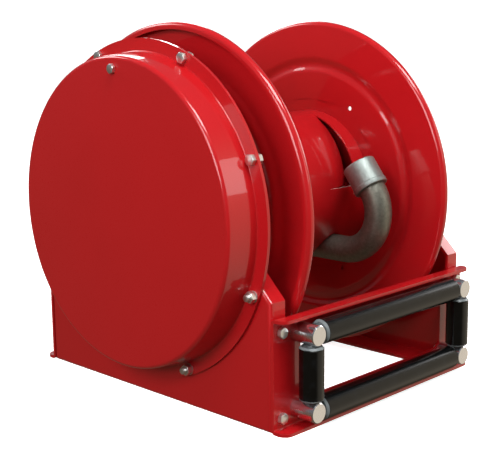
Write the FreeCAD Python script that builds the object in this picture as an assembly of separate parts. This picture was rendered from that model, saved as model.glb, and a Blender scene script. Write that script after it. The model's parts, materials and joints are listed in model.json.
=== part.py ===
import FreeCAD, Part
import math
import os
from FreeCAD import Rotation, Vector

# Spring-driven hose reel. X runs along the axle, with the spring case at -X and
# the water inlet at +X. The roller guide is at the front, at -Y. Z is up and the
# origin is on the floor, at the centre of the four base holes. Millimetres.

# ---- driving dimensions: frame ----
FRAME_WIDTH = 440.0
FRAME_DEPTH = 491.4
SHEET = 4.8
BEND_OUTER = 6.0
SIDE_FLANGE = 28.5
FOOT_FLANGE = 51.0
AXLE_Z = 278.7
SHOULDER_DROP = 97.9
TOP_RISE = 71.8
BASE_HOLE_R = 5.6
BASE_HOLE_INSET_X = 25.5
BASE_HOLE_INSET_Y = 45.7

# ---- driving dimensions: guide plate and rollers ----
PLATE_HEIGHT = 160.2
TOP_LEDGE = 23.6
BOTTOM_LEDGE = 26.3
LEDGE_CORNER_R = 15.0
WINDOW_HALF_WIDTH = 166.0
WINDOW_BOTTOM = 36.0
WINDOW_TOP = 128.4
WINDOW_CORNER_R = 12.0
PLATE_SCREW_INSET = 15.0
PLATE_SCREW_LOW = 20.5
PLATE_SCREW_HIGH = 140.0
POST_R = 14.3
POST_LENGTH = 40.2
POST_HALF_SPACING = 173.6
POST_LOW = 28.5
POST_HIGH = 135.9
ROLLER_OUT = 26.5
ROLLER_R = 17.2
ROLLER_WALL = 3.5
ROLLER_AXLE_R = 4.0
ROLLER_AXLE_SEAT = 7.0
ROLLER_END_GAP = 1.2
ROLLER_BUSH_LENGTH = 12.0
ROLLER_BUSH_FLANGE = 3.0
POST_CHAMFER = 0.8
POST_TAP = 13.4

# ---- driving dimensions: spring case ----
CASE_SHEET = 2.5
CASE_FLANGE_R = 246.6
CASE_FACE_R = 223.3
CASE_BAND_R = 228.0
CASE_DEPTH = 54.6
CASE_EDGE_R = 6.0
CASE_BOLT_CIRCLE = 237.6
CASE_BOLTS = 8
ANCHOR_CIRCLE = 205.0
SPRING_STRIP = 1.4
SPRING_WIDTH = 36.0
SPRING_TURNS = 9
ARBOR_R = 30.0

# ---- driving dimensions: drum ----
DISC_SHEET = 2.5
DISC_R = 268.9
LEFT_FACE_X = -154.4
RIGHT_FACE_X = 142.0
RIM_WIDTH = 15.0
RIM_CURL_R = 258.0
RIB_R = 199.0
RIB_HALF_WIDTH = 11.5
RIB_DEPTH = 5.0
RIB_FOOT_R = 3.0
RIB_CROWN_R = 5.0
DISC_HOLES = 6
DISC_HOLE_R = 3.6
DISC_HOLE_MARGIN = 30.0
DISC_HOLE_START = 57.2
DRUM_R = 124.0
DRUM_SHEET = 3.0
POCKET_X0 = 46.0
POCKET_X1 = 113.0
POCKET_ANGLE0 = 5.4
POCKET_ANGLE1 = 74.8
POCKET_DEPTH = 26.8
TAB_LAP = 2.0
TAB_FACETS = 9
PIPE_HOLE_GAP = 1.5

# ---- driving dimensions: shafts, bearings, ratchet ----
DRIVE_SHAFT_R = 12.7
OUTLET_SHAFT_R = 24.15
WATERWAY_R = 17.5
BUSH_WALL = 4.3
HOUSING_LENGTH = 30.0
HOUSING_FLANGE_R = 58.0
HOUSING_FLANGE = 9.0
HOUSING_BOLT_CIRCLE = 48.0
HOUSING_SCREWS = 4
HOUSING_WALL = 7.0
HUB_FLANGE_R = 60.0
HUB_FLANGE = 8.0
HUB_LENGTH = 20.0
HUB_WALL = 9.0
HUB_BOLT_CIRCLE = 48.0
HUB_SCREWS = 6
COLLAR_LENGTH = 7.0
COLLAR_WALL = 8.0
SHAFT_STUB = 12.0
SHAFT_OVERHANG = 3.0
RATCHET_TEETH = 12
RATCHET_TIP_R = 62.0
RATCHET_ROOT_R = 50.0
RATCHET_THICK = 6.0
PAWL_PIVOT_Y = 70.0
PAWL_PIVOT_DROP = 64.0
PAWL_PIVOT_R = 5.0
PAWL_BOSS_R = 11.0
PAWL_HALF_HEIGHT = 9.0
LATCH_WIRE_R = 0.8
LATCH_COIL = 6.0
LATCH_CLIP = 1.2

# ---- driving dimensions: pipe, outlet and swivel ----
PIPE_R = 21.1
PIPE_X = 80.0
RISER_BEND_R = 32.0
GOOSE_STANDOFF = 4.4
GOOSE_DROP = 23.7
GOOSE_BEND_R = 63.0
GOOSE_TURN = 127.3
RISER_END_Y = -70.0
COUPLING_R = 27.0
COUPLING_LENGTH = 44.0
COUPLING_CHAMFER = 1.2
THREAD_R = 19.4
SWIVEL_JOURNAL_R = 20.0
SWIVEL_START = 18.0
SWIVEL_BORE = 27.0
SWIVEL_CAP = 10.0
SWIVEL_PORT_WALL = 5.6
SWIVEL_R = 34.0
SWIVEL_WALL = 7.0
SWIVEL_PORT_DROP = 62.0
CLIP_GROOVE = 1.2
CLIP_RISE = 2.4
CLIP_OPENING = 8.0

# ---- driving dimensions: fasteners ----
SCREW_R = 4.7625
SCREW_FLATS = 14.3
SCREW_HEAD = 6.2
NUT_HEIGHT = 8.2
SMALL_SCREW_R = 3.97
SMALL_FLATS = 12.7
SMALL_HEAD = 5.4
SMALL_NUT = 6.6
WASHER = 1.6
WASHER_R = 8.1
SEAL_R = 1.6
THREAD_SPARE = 2.0
FRAME_BOLT_SPARE = 5.5

# ---- clearances ----
RUNNING = 0.05
BOLT_CLEAR = 0.4
MOVING_CLEAR = 0.4
TOOTH_CLEAR = 1.0
SEAL_CLEAR = 0.3
PAST = 1.0  # how far a cutting tool runs past a face

HALF_WIDTH = FRAME_WIDTH / 2
HALF_DEPTH = FRAME_DEPTH / 2
SHOULDER_Z = AXLE_Z - SHOULDER_DROP
TOP_Z = AXLE_Z + TOP_RISE
TOP_HALF_WIDTH = HALF_DEPTH - (TOP_Z - SHOULDER_Z)  # the slopes are at 45 degrees
PLATE_INNER = HALF_WIDTH - SHEET
PLATE_FACE_Y = HALF_DEPTH + SHEET
SIDES = (-1, 1)
LEFT, RIGHT = SIDES


# ---- geometry helpers ----
def save(name, *solids):
    """Write one node: a single solid or a group of separate solids."""
    shape = solids[0] if len(solids) == 1 else Part.makeCompound(list(solids))
    shape.exportStep("parts/%s.step" % name)


def ring(x0, x1, outer, inner=0.0, y=0.0, z=AXLE_Z):
    """A cylinder or tube along X between x0 and x1."""
    start, length = min(x0, x1), abs(x1 - x0)
    solid = Part.makeCylinder(outer, length, Vector(start, y, z), Vector(1, 0, 0))
    if inner > 0:
        solid = solid.cut(Part.makeCylinder(inner, length, Vector(start, y, z), Vector(1, 0, 0)))
    return solid


def rod(radius, start, direction, length):
    """A cylinder from a point along a direction."""
    return Part.makeCylinder(radius, length, Vector(*start), Vector(*direction))


def box(x0, x1, y0, y1, z0, z1):
    """A box between two corners, given in any order."""
    low = Vector(min(x0, x1), min(y0, y1), min(z0, z1))
    return Part.makeBox(abs(x1 - x0), abs(y1 - y0), abs(z1 - z0), low)


def at(solid, position, direction):
    """Stand a piece made along +Z at a position, with +Z along a direction."""
    turned = solid.copy()
    turn = Rotation(Vector(0, 0, 1), Vector(*direction))
    turned.Placement = FreeCAD.Placement(Vector(*position), turn)
    return turned


def hexagon(flats, height, bore=0.0):
    """A hexagonal prism along +Z from z = 0, with chamfered outer corners."""
    corner = flats / math.sqrt(3)
    angles = [math.radians(60 * k) for k in range(7)]
    points = [Vector(corner * math.cos(a), corner * math.sin(a), 0) for a in angles]
    prism = Part.Face(Part.makePolygon(points)).extrude(Vector(0, 0, height))
    chamfer = Part.makeCone(flats / 2 + height * math.sqrt(3), flats / 2, height)
    prism = prism.common(chamfer)
    if bore > 0:
        prism = prism.cut(Part.makeCylinder(bore, height, Vector(0, 0, 0)))
    return prism


def screw(radius, flats, head, length, washer_r=0.0):
    """A hex screw: head above z = 0, shank down to -length, on a washer if it has one."""
    lift = WASHER if washer_r > 0 else 0.0
    solid = hexagon(flats, head).translate(Vector(0, 0, lift))
    solid = solid.fuse(Part.makeCylinder(radius, length + lift, Vector(0, 0, -length)))
    if washer_r > 0:
        solid = solid.fuse(Part.makeCylinder(washer_r, WASHER, Vector(0, 0, 0)))
    return solid.removeSplitter()


def nut(radius, flats, height, washer_r=0.0):
    """A hex nut on a washer, standing on z = 0, that screws over a shank of the radius."""
    lift = WASHER if washer_r > 0 else 0.0
    solid = hexagon(flats, height).translate(Vector(0, 0, lift))
    if washer_r > 0:
        solid = solid.fuse(Part.makeCylinder(washer_r, WASHER, Vector(0, 0, 0)))
    bore = Part.makeCylinder(radius, lift + height + 2 * PAST, Vector(0, 0, -PAST))
    return solid.cut(bore).removeSplitter()


def rounded_wire(corners):
    """A closed wire through (point, radius) corners, with a tangent arc at each radius."""
    edges = []
    ends = []
    count = len(corners)
    for i, (corner, radius) in enumerate(corners):
        before = corners[i - 1][0]
        after = corners[(i + 1) % count][0]
        into = (before - corner).normalize()
        out = (after - corner).normalize()
        if radius <= 0:
            ends.append((corner, corner))
            continue
        half = into.getAngle(out) / 2
        reach = radius / math.tan(half)
        bisector = (into + out).normalize()
        start = corner + into * reach
        end = corner + out * reach
        middle = corner + bisector * (radius / math.sin(half) - radius)
        ends.append((start, end))
        edges.append(Part.Arc(start, middle, end).toShape())
    for i in range(count):
        here = ends[i][1]
        there = ends[(i + 1) % count][0]
        if here.distanceToPoint(there) > 1e-6:
            edges.append(Part.LineSegment(here, there).toShape())
    return Part.Wire(Part.__sortEdges__(edges))


def sheet_section(path, thickness, normal):
    """The closed outline of bent sheet whose middle follows (point, bend radius) along a path."""
    points = [Vector(*p) for p, _ in path]
    radii = [r for _, r in path]
    sides = []
    for sign in (1, -1):
        side = []
        for i, point in enumerate(points):
            first = (points[i] - points[i - 1]).normalize() if i else None
            last = (points[i + 1] - points[i]).normalize() if i < len(points) - 1 else None
            a = (first or last).cross(normal) * sign
            b = (last or first).cross(normal) * sign
            bisector = (a + b).normalize()
            shift = bisector * (thickness / 2 / math.cos(a.getAngle(b) / 2))
            radius = 0.0
            if radii[i] > 0:
                turn = first.cross(last).dot(normal)
                radius = radii[i] + (thickness / 2 if turn * sign > 0 else -thickness / 2)
            side.append((point + shift, radius))
        sides.append(side)
    return rounded_wire(sides[0] + sides[1][::-1])


def turned_sheet(path, thickness):
    """Sheet spun about the axle; the path holds ((x, radius), bend radius)."""
    section = [((x, 0, AXLE_Z + r), bend) for (x, r), bend in path]
    face = Part.Face(sheet_section(section, thickness, Vector(0, 1, 0)))
    return face.revolve(Vector(0, 0, AXLE_Z), Vector(1, 0, 0), 360)


def around(count, circle, start=0.0):
    """Positions (y, z) evenly spaced round the axle; 0 degrees is the front, 90 is up."""
    angles = [math.radians(start + 360 * k / count) for k in range(count)]
    return [(-circle * math.cos(a), AXLE_Z + circle * math.sin(a)) for a in angles]


def pipe(path, outer, inner):
    """A tube along a wire of tangent lines and arcs."""
    start = path.Edges[0]
    point = start.valueAt(start.FirstParameter)
    direction = start.tangentAt(start.FirstParameter)
    profiles = [Part.Wire(Part.makeCircle(r, point, direction)) for r in (outer, inner)]
    skin, core = [path.makePipeShell([p], True, True) for p in profiles]
    return skin.cut(core)


# ---- frame: two bent side plates and two cross plates ----
def outline(inset, x, depth):
    """The side plate's six-sided outline, drawn in by an inset and extruded along X."""
    slope = inset * math.tan(math.radians(22.5))
    points = [(-HALF_DEPTH + inset, inset), (HALF_DEPTH - inset, inset),
              (HALF_DEPTH - inset, SHOULDER_Z - slope), (TOP_HALF_WIDTH - slope, TOP_Z - inset),
              (-TOP_HALF_WIDTH + slope, TOP_Z - inset), (-HALF_DEPTH + inset, SHOULDER_Z - slope)]
    loop = [Vector(x, y, z) for y, z in points + points[:1]]
    return Part.Face(Part.makePolygon(loop)).extrude(Vector(depth, 0, 0))


def edges_on(solid, x):
    """Edges whose ends all lie in the plane at x."""
    return [e for e in solid.Edges if all(abs(v.X - x) < 1e-6 for v in e.Vertexes)]


def side_plate(side):
    """Web, inward flanges all round, a wide foot, and its holes."""
    outer = outline(0, side * HALF_WIDTH, -side * SIDE_FLANGE)
    foot = box(side * (HALF_WIDTH - BEND_OUTER), side * (HALF_WIDTH - FOOT_FLANGE),
               -HALF_DEPTH, HALF_DEPTH, 0, SHEET)
    outer = outer.makeFillet(BEND_OUTER, edges_on(outer, side * HALF_WIDTH))
    hollow = outline(SHEET, side * PLATE_INNER, -side * SIDE_FLANGE)
    hollow = hollow.makeFillet(BEND_OUTER - SHEET, edges_on(hollow, side * PLATE_INNER))
    plate = outer.cut(hollow).fuse(foot).removeSplitter()
    shaft_r = OUTLET_SHAFT_R if side == RIGHT else DRIVE_SHAFT_R
    inside = side * (PLATE_INNER - PAST)
    outside = side * (HALF_WIDTH + PAST)
    screw_hole = SCREW_R + BOLT_CLEAR
    holes = [ring(inside, outside, shaft_r + BUSH_WALL)]
    holes += [ring(inside, outside, screw_hole, y=y, z=z) for y, z in housing_screw_places()]
    for end in (-1, 1):
        for z in (PLATE_SCREW_LOW, PLATE_SCREW_HIGH):
            start = (side * (HALF_WIDTH - PLATE_SCREW_INSET), end * (HALF_DEPTH - SHEET - PAST), z)
            holes.append(rod(screw_hole, start, (0, end, 0), SHEET + 2 * PAST))
        start = (side * (HALF_WIDTH - BASE_HOLE_INSET_X), end * (HALF_DEPTH - BASE_HOLE_INSET_Y), -PAST)
        holes.append(rod(BASE_HOLE_R, start, (0, 0, 1), SHEET + 2 * PAST))
    if side == LEFT:
        holes += [ring(inside, outside, screw_hole, y=y, z=z) for y, z in case_bolts(lower=True)]
    else:
        pivot_z = AXLE_Z - PAWL_PIVOT_DROP
        holes.append(ring(inside, outside, PAWL_PIVOT_R + BOLT_CLEAR, y=PAWL_PIVOT_Y, z=pivot_z))
    return plate.cut(Part.makeCompound(holes))


def cross_plate(end):
    """A channel with its ledges turned outwards; end is -1 at the front and 1 at the back."""
    middle = PLATE_FACE_Y - SHEET / 2
    top = (end * (HALF_DEPTH + TOP_LEDGE), PLATE_HEIGHT - SHEET / 2)
    bottom = (end * (HALF_DEPTH + BOTTOM_LEDGE), SHEET / 2)
    path = [((-HALF_WIDTH, top[0], top[1]), 0), ((-HALF_WIDTH, end * middle, top[1]), SHEET),
            ((-HALF_WIDTH, end * middle, bottom[1]), SHEET), ((-HALF_WIDTH, bottom[0], bottom[1]), 0)]
    section = Part.Face(sheet_section(path, SHEET, Vector(1, 0, 0)))
    plate = section.extrude(Vector(FRAME_WIDTH, 0, 0))
    for side in SIDES:
        for ledge, z in ((top[0], top[1]), (bottom[0], bottom[1])):
            corner = box(side * (HALF_WIDTH - LEDGE_CORNER_R), side * (HALF_WIDTH + PAST),
                         ledge - end * LEDGE_CORNER_R, ledge + end * PAST, z - SHEET, z + SHEET)
            centre = (side * (HALF_WIDTH - LEDGE_CORNER_R), ledge - end * LEDGE_CORNER_R, z - SHEET)
            plate = plate.cut(corner.cut(rod(LEDGE_CORNER_R, centre, (0, 0, 1), 2 * SHEET)))
        for z in (PLATE_SCREW_LOW, PLATE_SCREW_HIGH):
            start = (side * (HALF_WIDTH - PLATE_SCREW_INSET), end * (HALF_DEPTH - PAST), z)
            plate = plate.cut(rod(SCREW_R + BOLT_CLEAR, start, (0, end, 0), SHEET + 2 * PAST))
    return plate


def guide_window():
    """The rounded opening that the hose runs through."""
    y = -PLATE_FACE_Y - PAST
    corners = [(-WINDOW_HALF_WIDTH, WINDOW_BOTTOM), (WINDOW_HALF_WIDTH, WINDOW_BOTTOM),
               (WINDOW_HALF_WIDTH, WINDOW_TOP), (-WINDOW_HALF_WIDTH, WINDOW_TOP)]
    wire = rounded_wire([(Vector(x, y, z), WINDOW_CORNER_R) for x, z in corners])
    return Part.Face(wire).extrude(Vector(0, SHEET + 2 * PAST, 0))


def front_guide_plate():
    """The front channel with the window and the clearance holes of the post screws."""
    plate = cross_plate(-1).cut(guide_window())
    for x, z in post_places():
        start = (x, -PLATE_FACE_Y - PAST, z)
        plate = plate.cut(rod(SCREW_R + BOLT_CLEAR, start, (0, 1, 0), SHEET + 2 * PAST))
    return plate


def plate_fasteners(end):
    """Screws from outside and nuts inside that hold one cross plate to the side plates."""
    body = screw(SCREW_R, SCREW_FLATS, SCREW_HEAD, 2 * SHEET + NUT_HEIGHT + THREAD_SPARE)
    plain_nut = nut(SCREW_R, SCREW_FLATS, NUT_HEIGHT)
    screws, nuts = [], []
    for side in SIDES:
        for z in (PLATE_SCREW_LOW, PLATE_SCREW_HIGH):
            x = side * (HALF_WIDTH - PLATE_SCREW_INSET)
            screws.append(at(body, (x, end * PLATE_FACE_Y, z), (0, end, 0)))
            nuts.append(at(plain_nut, (x, end * (HALF_DEPTH - SHEET), z), (0, -end, 0)))
    return screws, nuts


# ---- roller guide ----
def post_places():
    """Centres (x, z) of the four posts."""
    return [(side * POST_HALF_SPACING, z) for z in (POST_LOW, POST_HIGH) for side in SIDES]


ROLLER_Y = -(PLATE_FACE_Y + ROLLER_OUT)


def roller_post(x, z):
    """A turned post, tapped from behind, with blind seats for one level and one upright axle."""
    post = rod(POST_R, (x, -PLATE_FACE_Y, z), (0, -1, 0), POST_LENGTH)
    tip = -PLATE_FACE_Y - POST_LENGTH
    edges = [e for e in post.Edges if abs(e.BoundBox.YMax - tip) < 1e-6]
    post = post.makeChamfer(POST_CHAMFER, edges)
    post = post.cut(rod(SCREW_R, (x, -PLATE_FACE_Y, z), (0, -1, 0), POST_TAP))
    inward = -1 if x > 0 else 1
    middle = (POST_LOW + POST_HIGH) / 2
    upward = 1 if z < middle else -1
    seat = ROLLER_AXLE_SEAT
    level_start = (x + inward * (POST_R - seat), ROLLER_Y, z)
    upright_start = (x, ROLLER_Y, z + upward * (POST_R - seat))
    level = rod(ROLLER_AXLE_R, level_start, (inward, 0, 0), seat + PAST)
    upright = rod(ROLLER_AXLE_R, upright_start, (0, 0, upward), seat + PAST)
    return post.cut(level).cut(upright)


def post_screw(x, z):
    """The screw that holds a post from behind the guide plate."""
    body = screw(SCREW_R, SCREW_FLATS, SCREW_HEAD, SHEET + POST_TAP - PAST, WASHER_R)
    return at(body, (x, -HALF_DEPTH, z), (0, 1, 0))


def roller(start, direction, spacing):
    """Axle, tube and two flanged bushes between two posts; start is the first post's centre."""
    direction = Vector(*direction)
    start = Vector(*start)
    seat = POST_R - ROLLER_AXLE_SEAT
    axle = rod(ROLLER_AXLE_R, start + direction * seat, direction, spacing - 2 * seat)
    clear_of_neighbour = max(POST_R, ROLLER_R - ROLLER_BUSH_FLANGE) + ROLLER_END_GAP
    length = spacing - 2 * clear_of_neighbour
    first = start + direction * clear_of_neighbour
    inner = ROLLER_R - ROLLER_WALL
    tube_start = first + direction * ROLLER_BUSH_FLANGE
    tube_length = length - 2 * ROLLER_BUSH_FLANGE
    tube = rod(ROLLER_R, tube_start, direction, tube_length)
    tube = tube.cut(rod(inner, tube_start, direction, tube_length))
    bushes = []
    for end, way in ((first, direction), (first + direction * length, direction * -1)):
        lip = Part.makeCone(ROLLER_R - ROLLER_BUSH_FLANGE, ROLLER_R, ROLLER_BUSH_FLANGE, end, way)
        plug = rod(inner, end, way, ROLLER_BUSH_LENGTH)
        bore = rod(ROLLER_AXLE_R + RUNNING, end, way, ROLLER_BUSH_LENGTH)
        bushes.append(lip.fuse(plug).cut(bore))
    return axle, tube, bushes


def rollers():
    """The four rollers by name, each between two posts."""
    wide = 2 * POST_HALF_SPACING
    high = POST_HIGH - POST_LOW
    return {
        "top": roller((-POST_HALF_SPACING, ROLLER_Y, POST_HIGH), (1, 0, 0), wide),
        "bottom": roller((-POST_HALF_SPACING, ROLLER_Y, POST_LOW), (1, 0, 0), wide),
        "left": roller((-POST_HALF_SPACING, ROLLER_Y, POST_LOW), (0, 0, 1), high),
        "right": roller((POST_HALF_SPACING, ROLLER_Y, POST_LOW), (0, 0, 1), high),
    }


# ---- spring case ----
CASE_BACK_X = -HALF_WIDTH - CASE_SHEET
CASE_FLANGE_X = CASE_BACK_X - CASE_SHEET
CASE_FRONT_X = -HALF_WIDTH - CASE_DEPTH


def case_bolts(lower):
    """Places of the lower bolts, through the frame, or of the upper ones, above its shoulders."""
    places = around(CASE_BOLTS, CASE_BOLT_CIRCLE, 180 / CASE_BOLTS)
    return [(y, z) for y, z in places if (z < AXLE_Z) == lower]


def spring_case_back():
    """A flat disc against the side plate, with the shaft hole and the bolt holes."""
    back = ring(-HALF_WIDTH, CASE_BACK_X, CASE_FLANGE_R, DRIVE_SHAFT_R + BUSH_WALL)
    return back.cut(bolt_holes(CASE_BACK_X))


def bolt_holes(x):
    """Case bolt holes and housing screw holes through one sheet that starts at x."""
    places = case_bolts(True) + case_bolts(False) + housing_screw_places()
    return Part.makeCompound([ring(x - PAST, x + CASE_SHEET + PAST, SCREW_R + BOLT_CLEAR, y=y, z=z)
                              for y, z in places])


def spring_case_cover():
    """A dished cover with a flat face, a slightly tapered band and a bolting flange."""
    half = CASE_SHEET / 2
    front = CASE_FRONT_X + half
    flange = CASE_FLANGE_X + half
    path = [((front, 0), 0), ((front, CASE_FACE_R - half), CASE_EDGE_R),
            ((flange, CASE_BAND_R - half), CASE_SHEET), ((flange, CASE_FLANGE_R), 0)]
    cover = turned_sheet(path, CASE_SHEET)
    anchor = ring(CASE_FRONT_X - PAST, CASE_FRONT_X + CASE_SHEET + PAST, SMALL_SCREW_R + BOLT_CLEAR,
                  z=AXLE_Z + ANCHOR_CIRCLE)
    return cover.cut(bolt_holes(CASE_FLANGE_X)).cut(anchor)


def case_fasteners():
    """Upper screws with nuts behind, and lower bolts from inside the frame with nuts outside."""
    stack = 2 * CASE_SHEET
    short = screw(SCREW_R, SCREW_FLATS, SCREW_HEAD, stack + NUT_HEIGHT + THREAD_SPARE)
    long_reach = SHEET + stack + WASHER + NUT_HEIGHT + FRAME_BOLT_SPARE
    long = screw(SCREW_R, SCREW_FLATS, SCREW_HEAD, long_reach)
    plain_nut = nut(SCREW_R, SCREW_FLATS, NUT_HEIGHT)
    washer_nut = nut(SCREW_R, SCREW_FLATS, NUT_HEIGHT, WASHER_R)
    high = case_bolts(lower=False)
    low = case_bolts(lower=True)
    screws = [at(short, (CASE_FLANGE_X, y, z), (-1, 0, 0)) for y, z in high]
    nuts = [at(plain_nut, (-HALF_WIDTH, y, z), (1, 0, 0)) for y, z in high]
    bolts = [at(long, (-PLATE_INNER, y, z), (1, 0, 0)) for y, z in low]
    bolt_nuts = [at(washer_nut, (CASE_FLANGE_X, y, z), (-1, 0, 0)) for y, z in low]
    return screws, nuts, bolts, bolt_nuts


def spring_anchor():
    """A spacer stud across the case that the spring's outer end hooks over, and its screw."""
    z = AXLE_Z + ANCHOR_CIRCLE
    inside = CASE_FRONT_X + CASE_SHEET
    stud = ring(inside, CASE_BACK_X, SMALL_FLATS / 2, SMALL_SCREW_R, z=z)
    body = screw(SMALL_SCREW_R, SMALL_FLATS, SMALL_HEAD, CASE_SHEET + (CASE_BACK_X - inside) / 2)
    return stud, at(body, (CASE_FRONT_X, 0, z), (-1, 0, 0))


SPRING_X = (CASE_BACK_X + CASE_FRONT_X + CASE_SHEET) / 2


def power_spring():
    """A flat strip wound as half circles whose centres swap sides, so that each half turn grows.

    It starts on top of the arbor and ends under the anchor stud.
    """
    inner = ARBOR_R + SPRING_STRIP / 2 + RUNNING
    outer = ANCHOR_CIRCLE - SMALL_FLATS / 2 - SPRING_STRIP / 2 - RUNNING
    pitch = (outer - inner) / SPRING_TURNS
    sides = []
    for offset in (SPRING_STRIP / 2, -SPRING_STRIP / 2):
        arcs = []
        for half in range(2 * SPRING_TURNS):
            way = -1 if half % 2 else 1
            centre = AXLE_Z - way * pitch / 4
            radius = inner + pitch / 4 + half * pitch / 2 + offset
            start = Vector(SPRING_X, 0, centre + way * radius)
            middle = Vector(SPRING_X, -way * radius, centre)
            end = Vector(SPRING_X, 0, centre - way * radius)
            arcs.append(Part.Arc(start, middle, end).toShape())
        sides.append((arcs, arcs[0].firstVertex(True).Point, arcs[-1].lastVertex(True).Point))
    (outside, out_start, out_end), (inside, in_start, in_end) = sides
    ends = [Part.LineSegment(out_start, in_start).toShape(), Part.LineSegment(out_end, in_end).toShape()]
    wire = Part.Wire(Part.__sortEdges__(outside + inside + ends))
    strip = Part.Face(wire).extrude(Vector(SPRING_WIDTH, 0, 0))
    return strip.translate(Vector(-SPRING_WIDTH / 2, 0, 0))


# ---- drum: two pressed discs and a rolled shell with a lanced hose pocket ----
GOOSE_CENTRE_Y = -(DRUM_R + GOOSE_STANDOFF)
GOOSE_CENTRE_Z = AXLE_Z - GOOSE_DROP
PIPE_EXIT_Z = GOOSE_CENTRE_Z - GOOSE_BEND_R


def reel_disc(side):
    """A pressed disc with a raised rib, a curled rim and a ring of drain holes."""
    face = RIGHT_FACE_X if side == RIGHT else LEFT_FACE_X
    shaft_r = OUTLET_SHAFT_R if side == RIGHT else DRIVE_SHAFT_R
    middle = DISC_SHEET / 2
    curl = RIM_WIDTH / 2 - middle
    steps = [(middle, shaft_r + BOLT_CLEAR, 0), (middle, RIB_R - RIB_HALF_WIDTH, RIB_FOOT_R),
             (middle + RIB_DEPTH, RIB_R, RIB_CROWN_R), (middle, RIB_R + RIB_HALF_WIDTH, RIB_FOOT_R),
             (middle, DISC_R - middle, curl), (RIM_WIDTH - middle, DISC_R - middle, curl),
             (RIM_WIDTH - middle, RIM_CURL_R, 0)]
    disc = turned_sheet([((face + side * out, r), bend) for out, r, bend in steps], DISC_SHEET)
    drains = around(DISC_HOLES, DRUM_R + DISC_HOLE_MARGIN, DISC_HOLE_START)
    holes = [(DISC_HOLE_R, place) for place in drains]
    holes += [(SMALL_SCREW_R + BOLT_CLEAR, place) for place in around(HUB_SCREWS, HUB_BOLT_CIRCLE)]
    near = face - side * PAST
    far = face + side * (DISC_SHEET + PAST)
    cuts = [ring(near, far, r, y=y, z=z) for r, (y, z) in holes]
    return disc.cut(Part.makeCompound(cuts))


def pocket_depth(angle):
    """How far the lanced tab is pressed in at its open side, growing towards its free end."""
    share = (POCKET_ANGLE1 - angle) / (POCKET_ANGLE1 - POCKET_ANGLE0)
    return POCKET_DEPTH * max(share, 0.0) ** 0.75


def pocket_tab():
    """The pressed-in tab: flush along its hinge line, deepest along its slit.

    Its facets' chords lie within the shell's thickness where the two lap.
    """
    wires = []
    last = POCKET_ANGLE1 + TAB_LAP
    step = (last - POCKET_ANGLE0) / TAB_FACETS
    outer = DRUM_R - BOLT_CLEAR
    inner = (DRUM_R - DRUM_SHEET + BOLT_CLEAR) / math.cos(math.radians(step / 2))
    for k in range(TAB_FACETS + 1):
        degrees = POCKET_ANGLE0 + step * k
        angle = math.radians(degrees)
        drop = pocket_depth(degrees)
        corners = [(POCKET_X0 - TAB_LAP, outer), (POCKET_X1 - BOLT_CLEAR, outer - drop),
                   (POCKET_X1 - BOLT_CLEAR, inner - drop), (POCKET_X0 - TAB_LAP, inner)]
        points = [Vector(x, -r * math.cos(angle), AXLE_Z + r * math.sin(angle)) for x, r in corners]
        wires.append(Part.makePolygon(points + points[:1]))
    return Part.makeLoft(wires, True, False)


def drum_shell():
    """A rolled cylinder with the pocket cut open, the tab pressed in and a hole for the pipe."""
    shell = ring(LEFT_FACE_X, RIGHT_FACE_X, DRUM_R, DRUM_R - DRUM_SHEET)
    reach = DRUM_R + PAST
    start = Vector(POCKET_X0, -reach * math.cos(math.radians(POCKET_ANGLE0)),
                   AXLE_Z + reach * math.sin(math.radians(POCKET_ANGLE0)))
    axis_point = Vector(POCKET_X0, 0, AXLE_Z)
    blade = Part.makePolygon([axis_point, start, start + Vector(POCKET_X1 - POCKET_X0, 0, 0),
                              axis_point + Vector(POCKET_X1 - POCKET_X0, 0, 0), axis_point])
    wedge = Part.Face(blade).revolve(axis_point, Vector(-1, 0, 0), POCKET_ANGLE1 - POCKET_ANGLE0)
    shell = shell.cut(wedge).fuse(pocket_tab())
    hole = rod(PIPE_R + PIPE_HOLE_GAP, (PIPE_X, -RISER_BEND_R, PIPE_EXIT_Z), (0, -1, 0), DRUM_R)
    return shell.cut(hole)


# ---- shafts, hubs, bearings and ratchet along the axle ----
LEFT_BACK_X = LEFT_FACE_X - DISC_SHEET
RIGHT_BACK_X = RIGHT_FACE_X + DISC_SHEET
RATCHET_X = RIGHT_BACK_X + HUB_LENGTH
OUTLET_ELBOW_X = PIPE_X + RISER_BEND_R
SHAFT_SHOULDER_X = HALF_WIDTH + SWIVEL_START
SWIVEL_X = SHAFT_SHOULDER_X + 2 * MOVING_CLEAR + WASHER
CHAMBER_X = SWIVEL_X + SWIVEL_BORE
PORT_R = THREAD_R + SWIVEL_PORT_WALL
PORT_X = CHAMBER_X + PORT_R
SWIVEL_END_X = PORT_X + PORT_R + SWIVEL_CAP / 2
JOURNAL_END_X = CHAMBER_X + 5.0
CLIP_X = CHAMBER_X + 2 * MOVING_CLEAR
CHAMBER_R = SWIVEL_R - SWIVEL_WALL
HOUSING_X = PLATE_INNER - HOUSING_LENGTH
ARBOR_END_X = SPRING_X - SPRING_WIDTH / 2
PAWL_Z = AXLE_Z - PAWL_PIVOT_DROP


def housing_screw_places():
    """Places (y, z) of the screws that hold a bearing housing."""
    return around(HOUSING_SCREWS, HOUSING_BOLT_CIRCLE, 180 / HOUSING_SCREWS)


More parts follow.
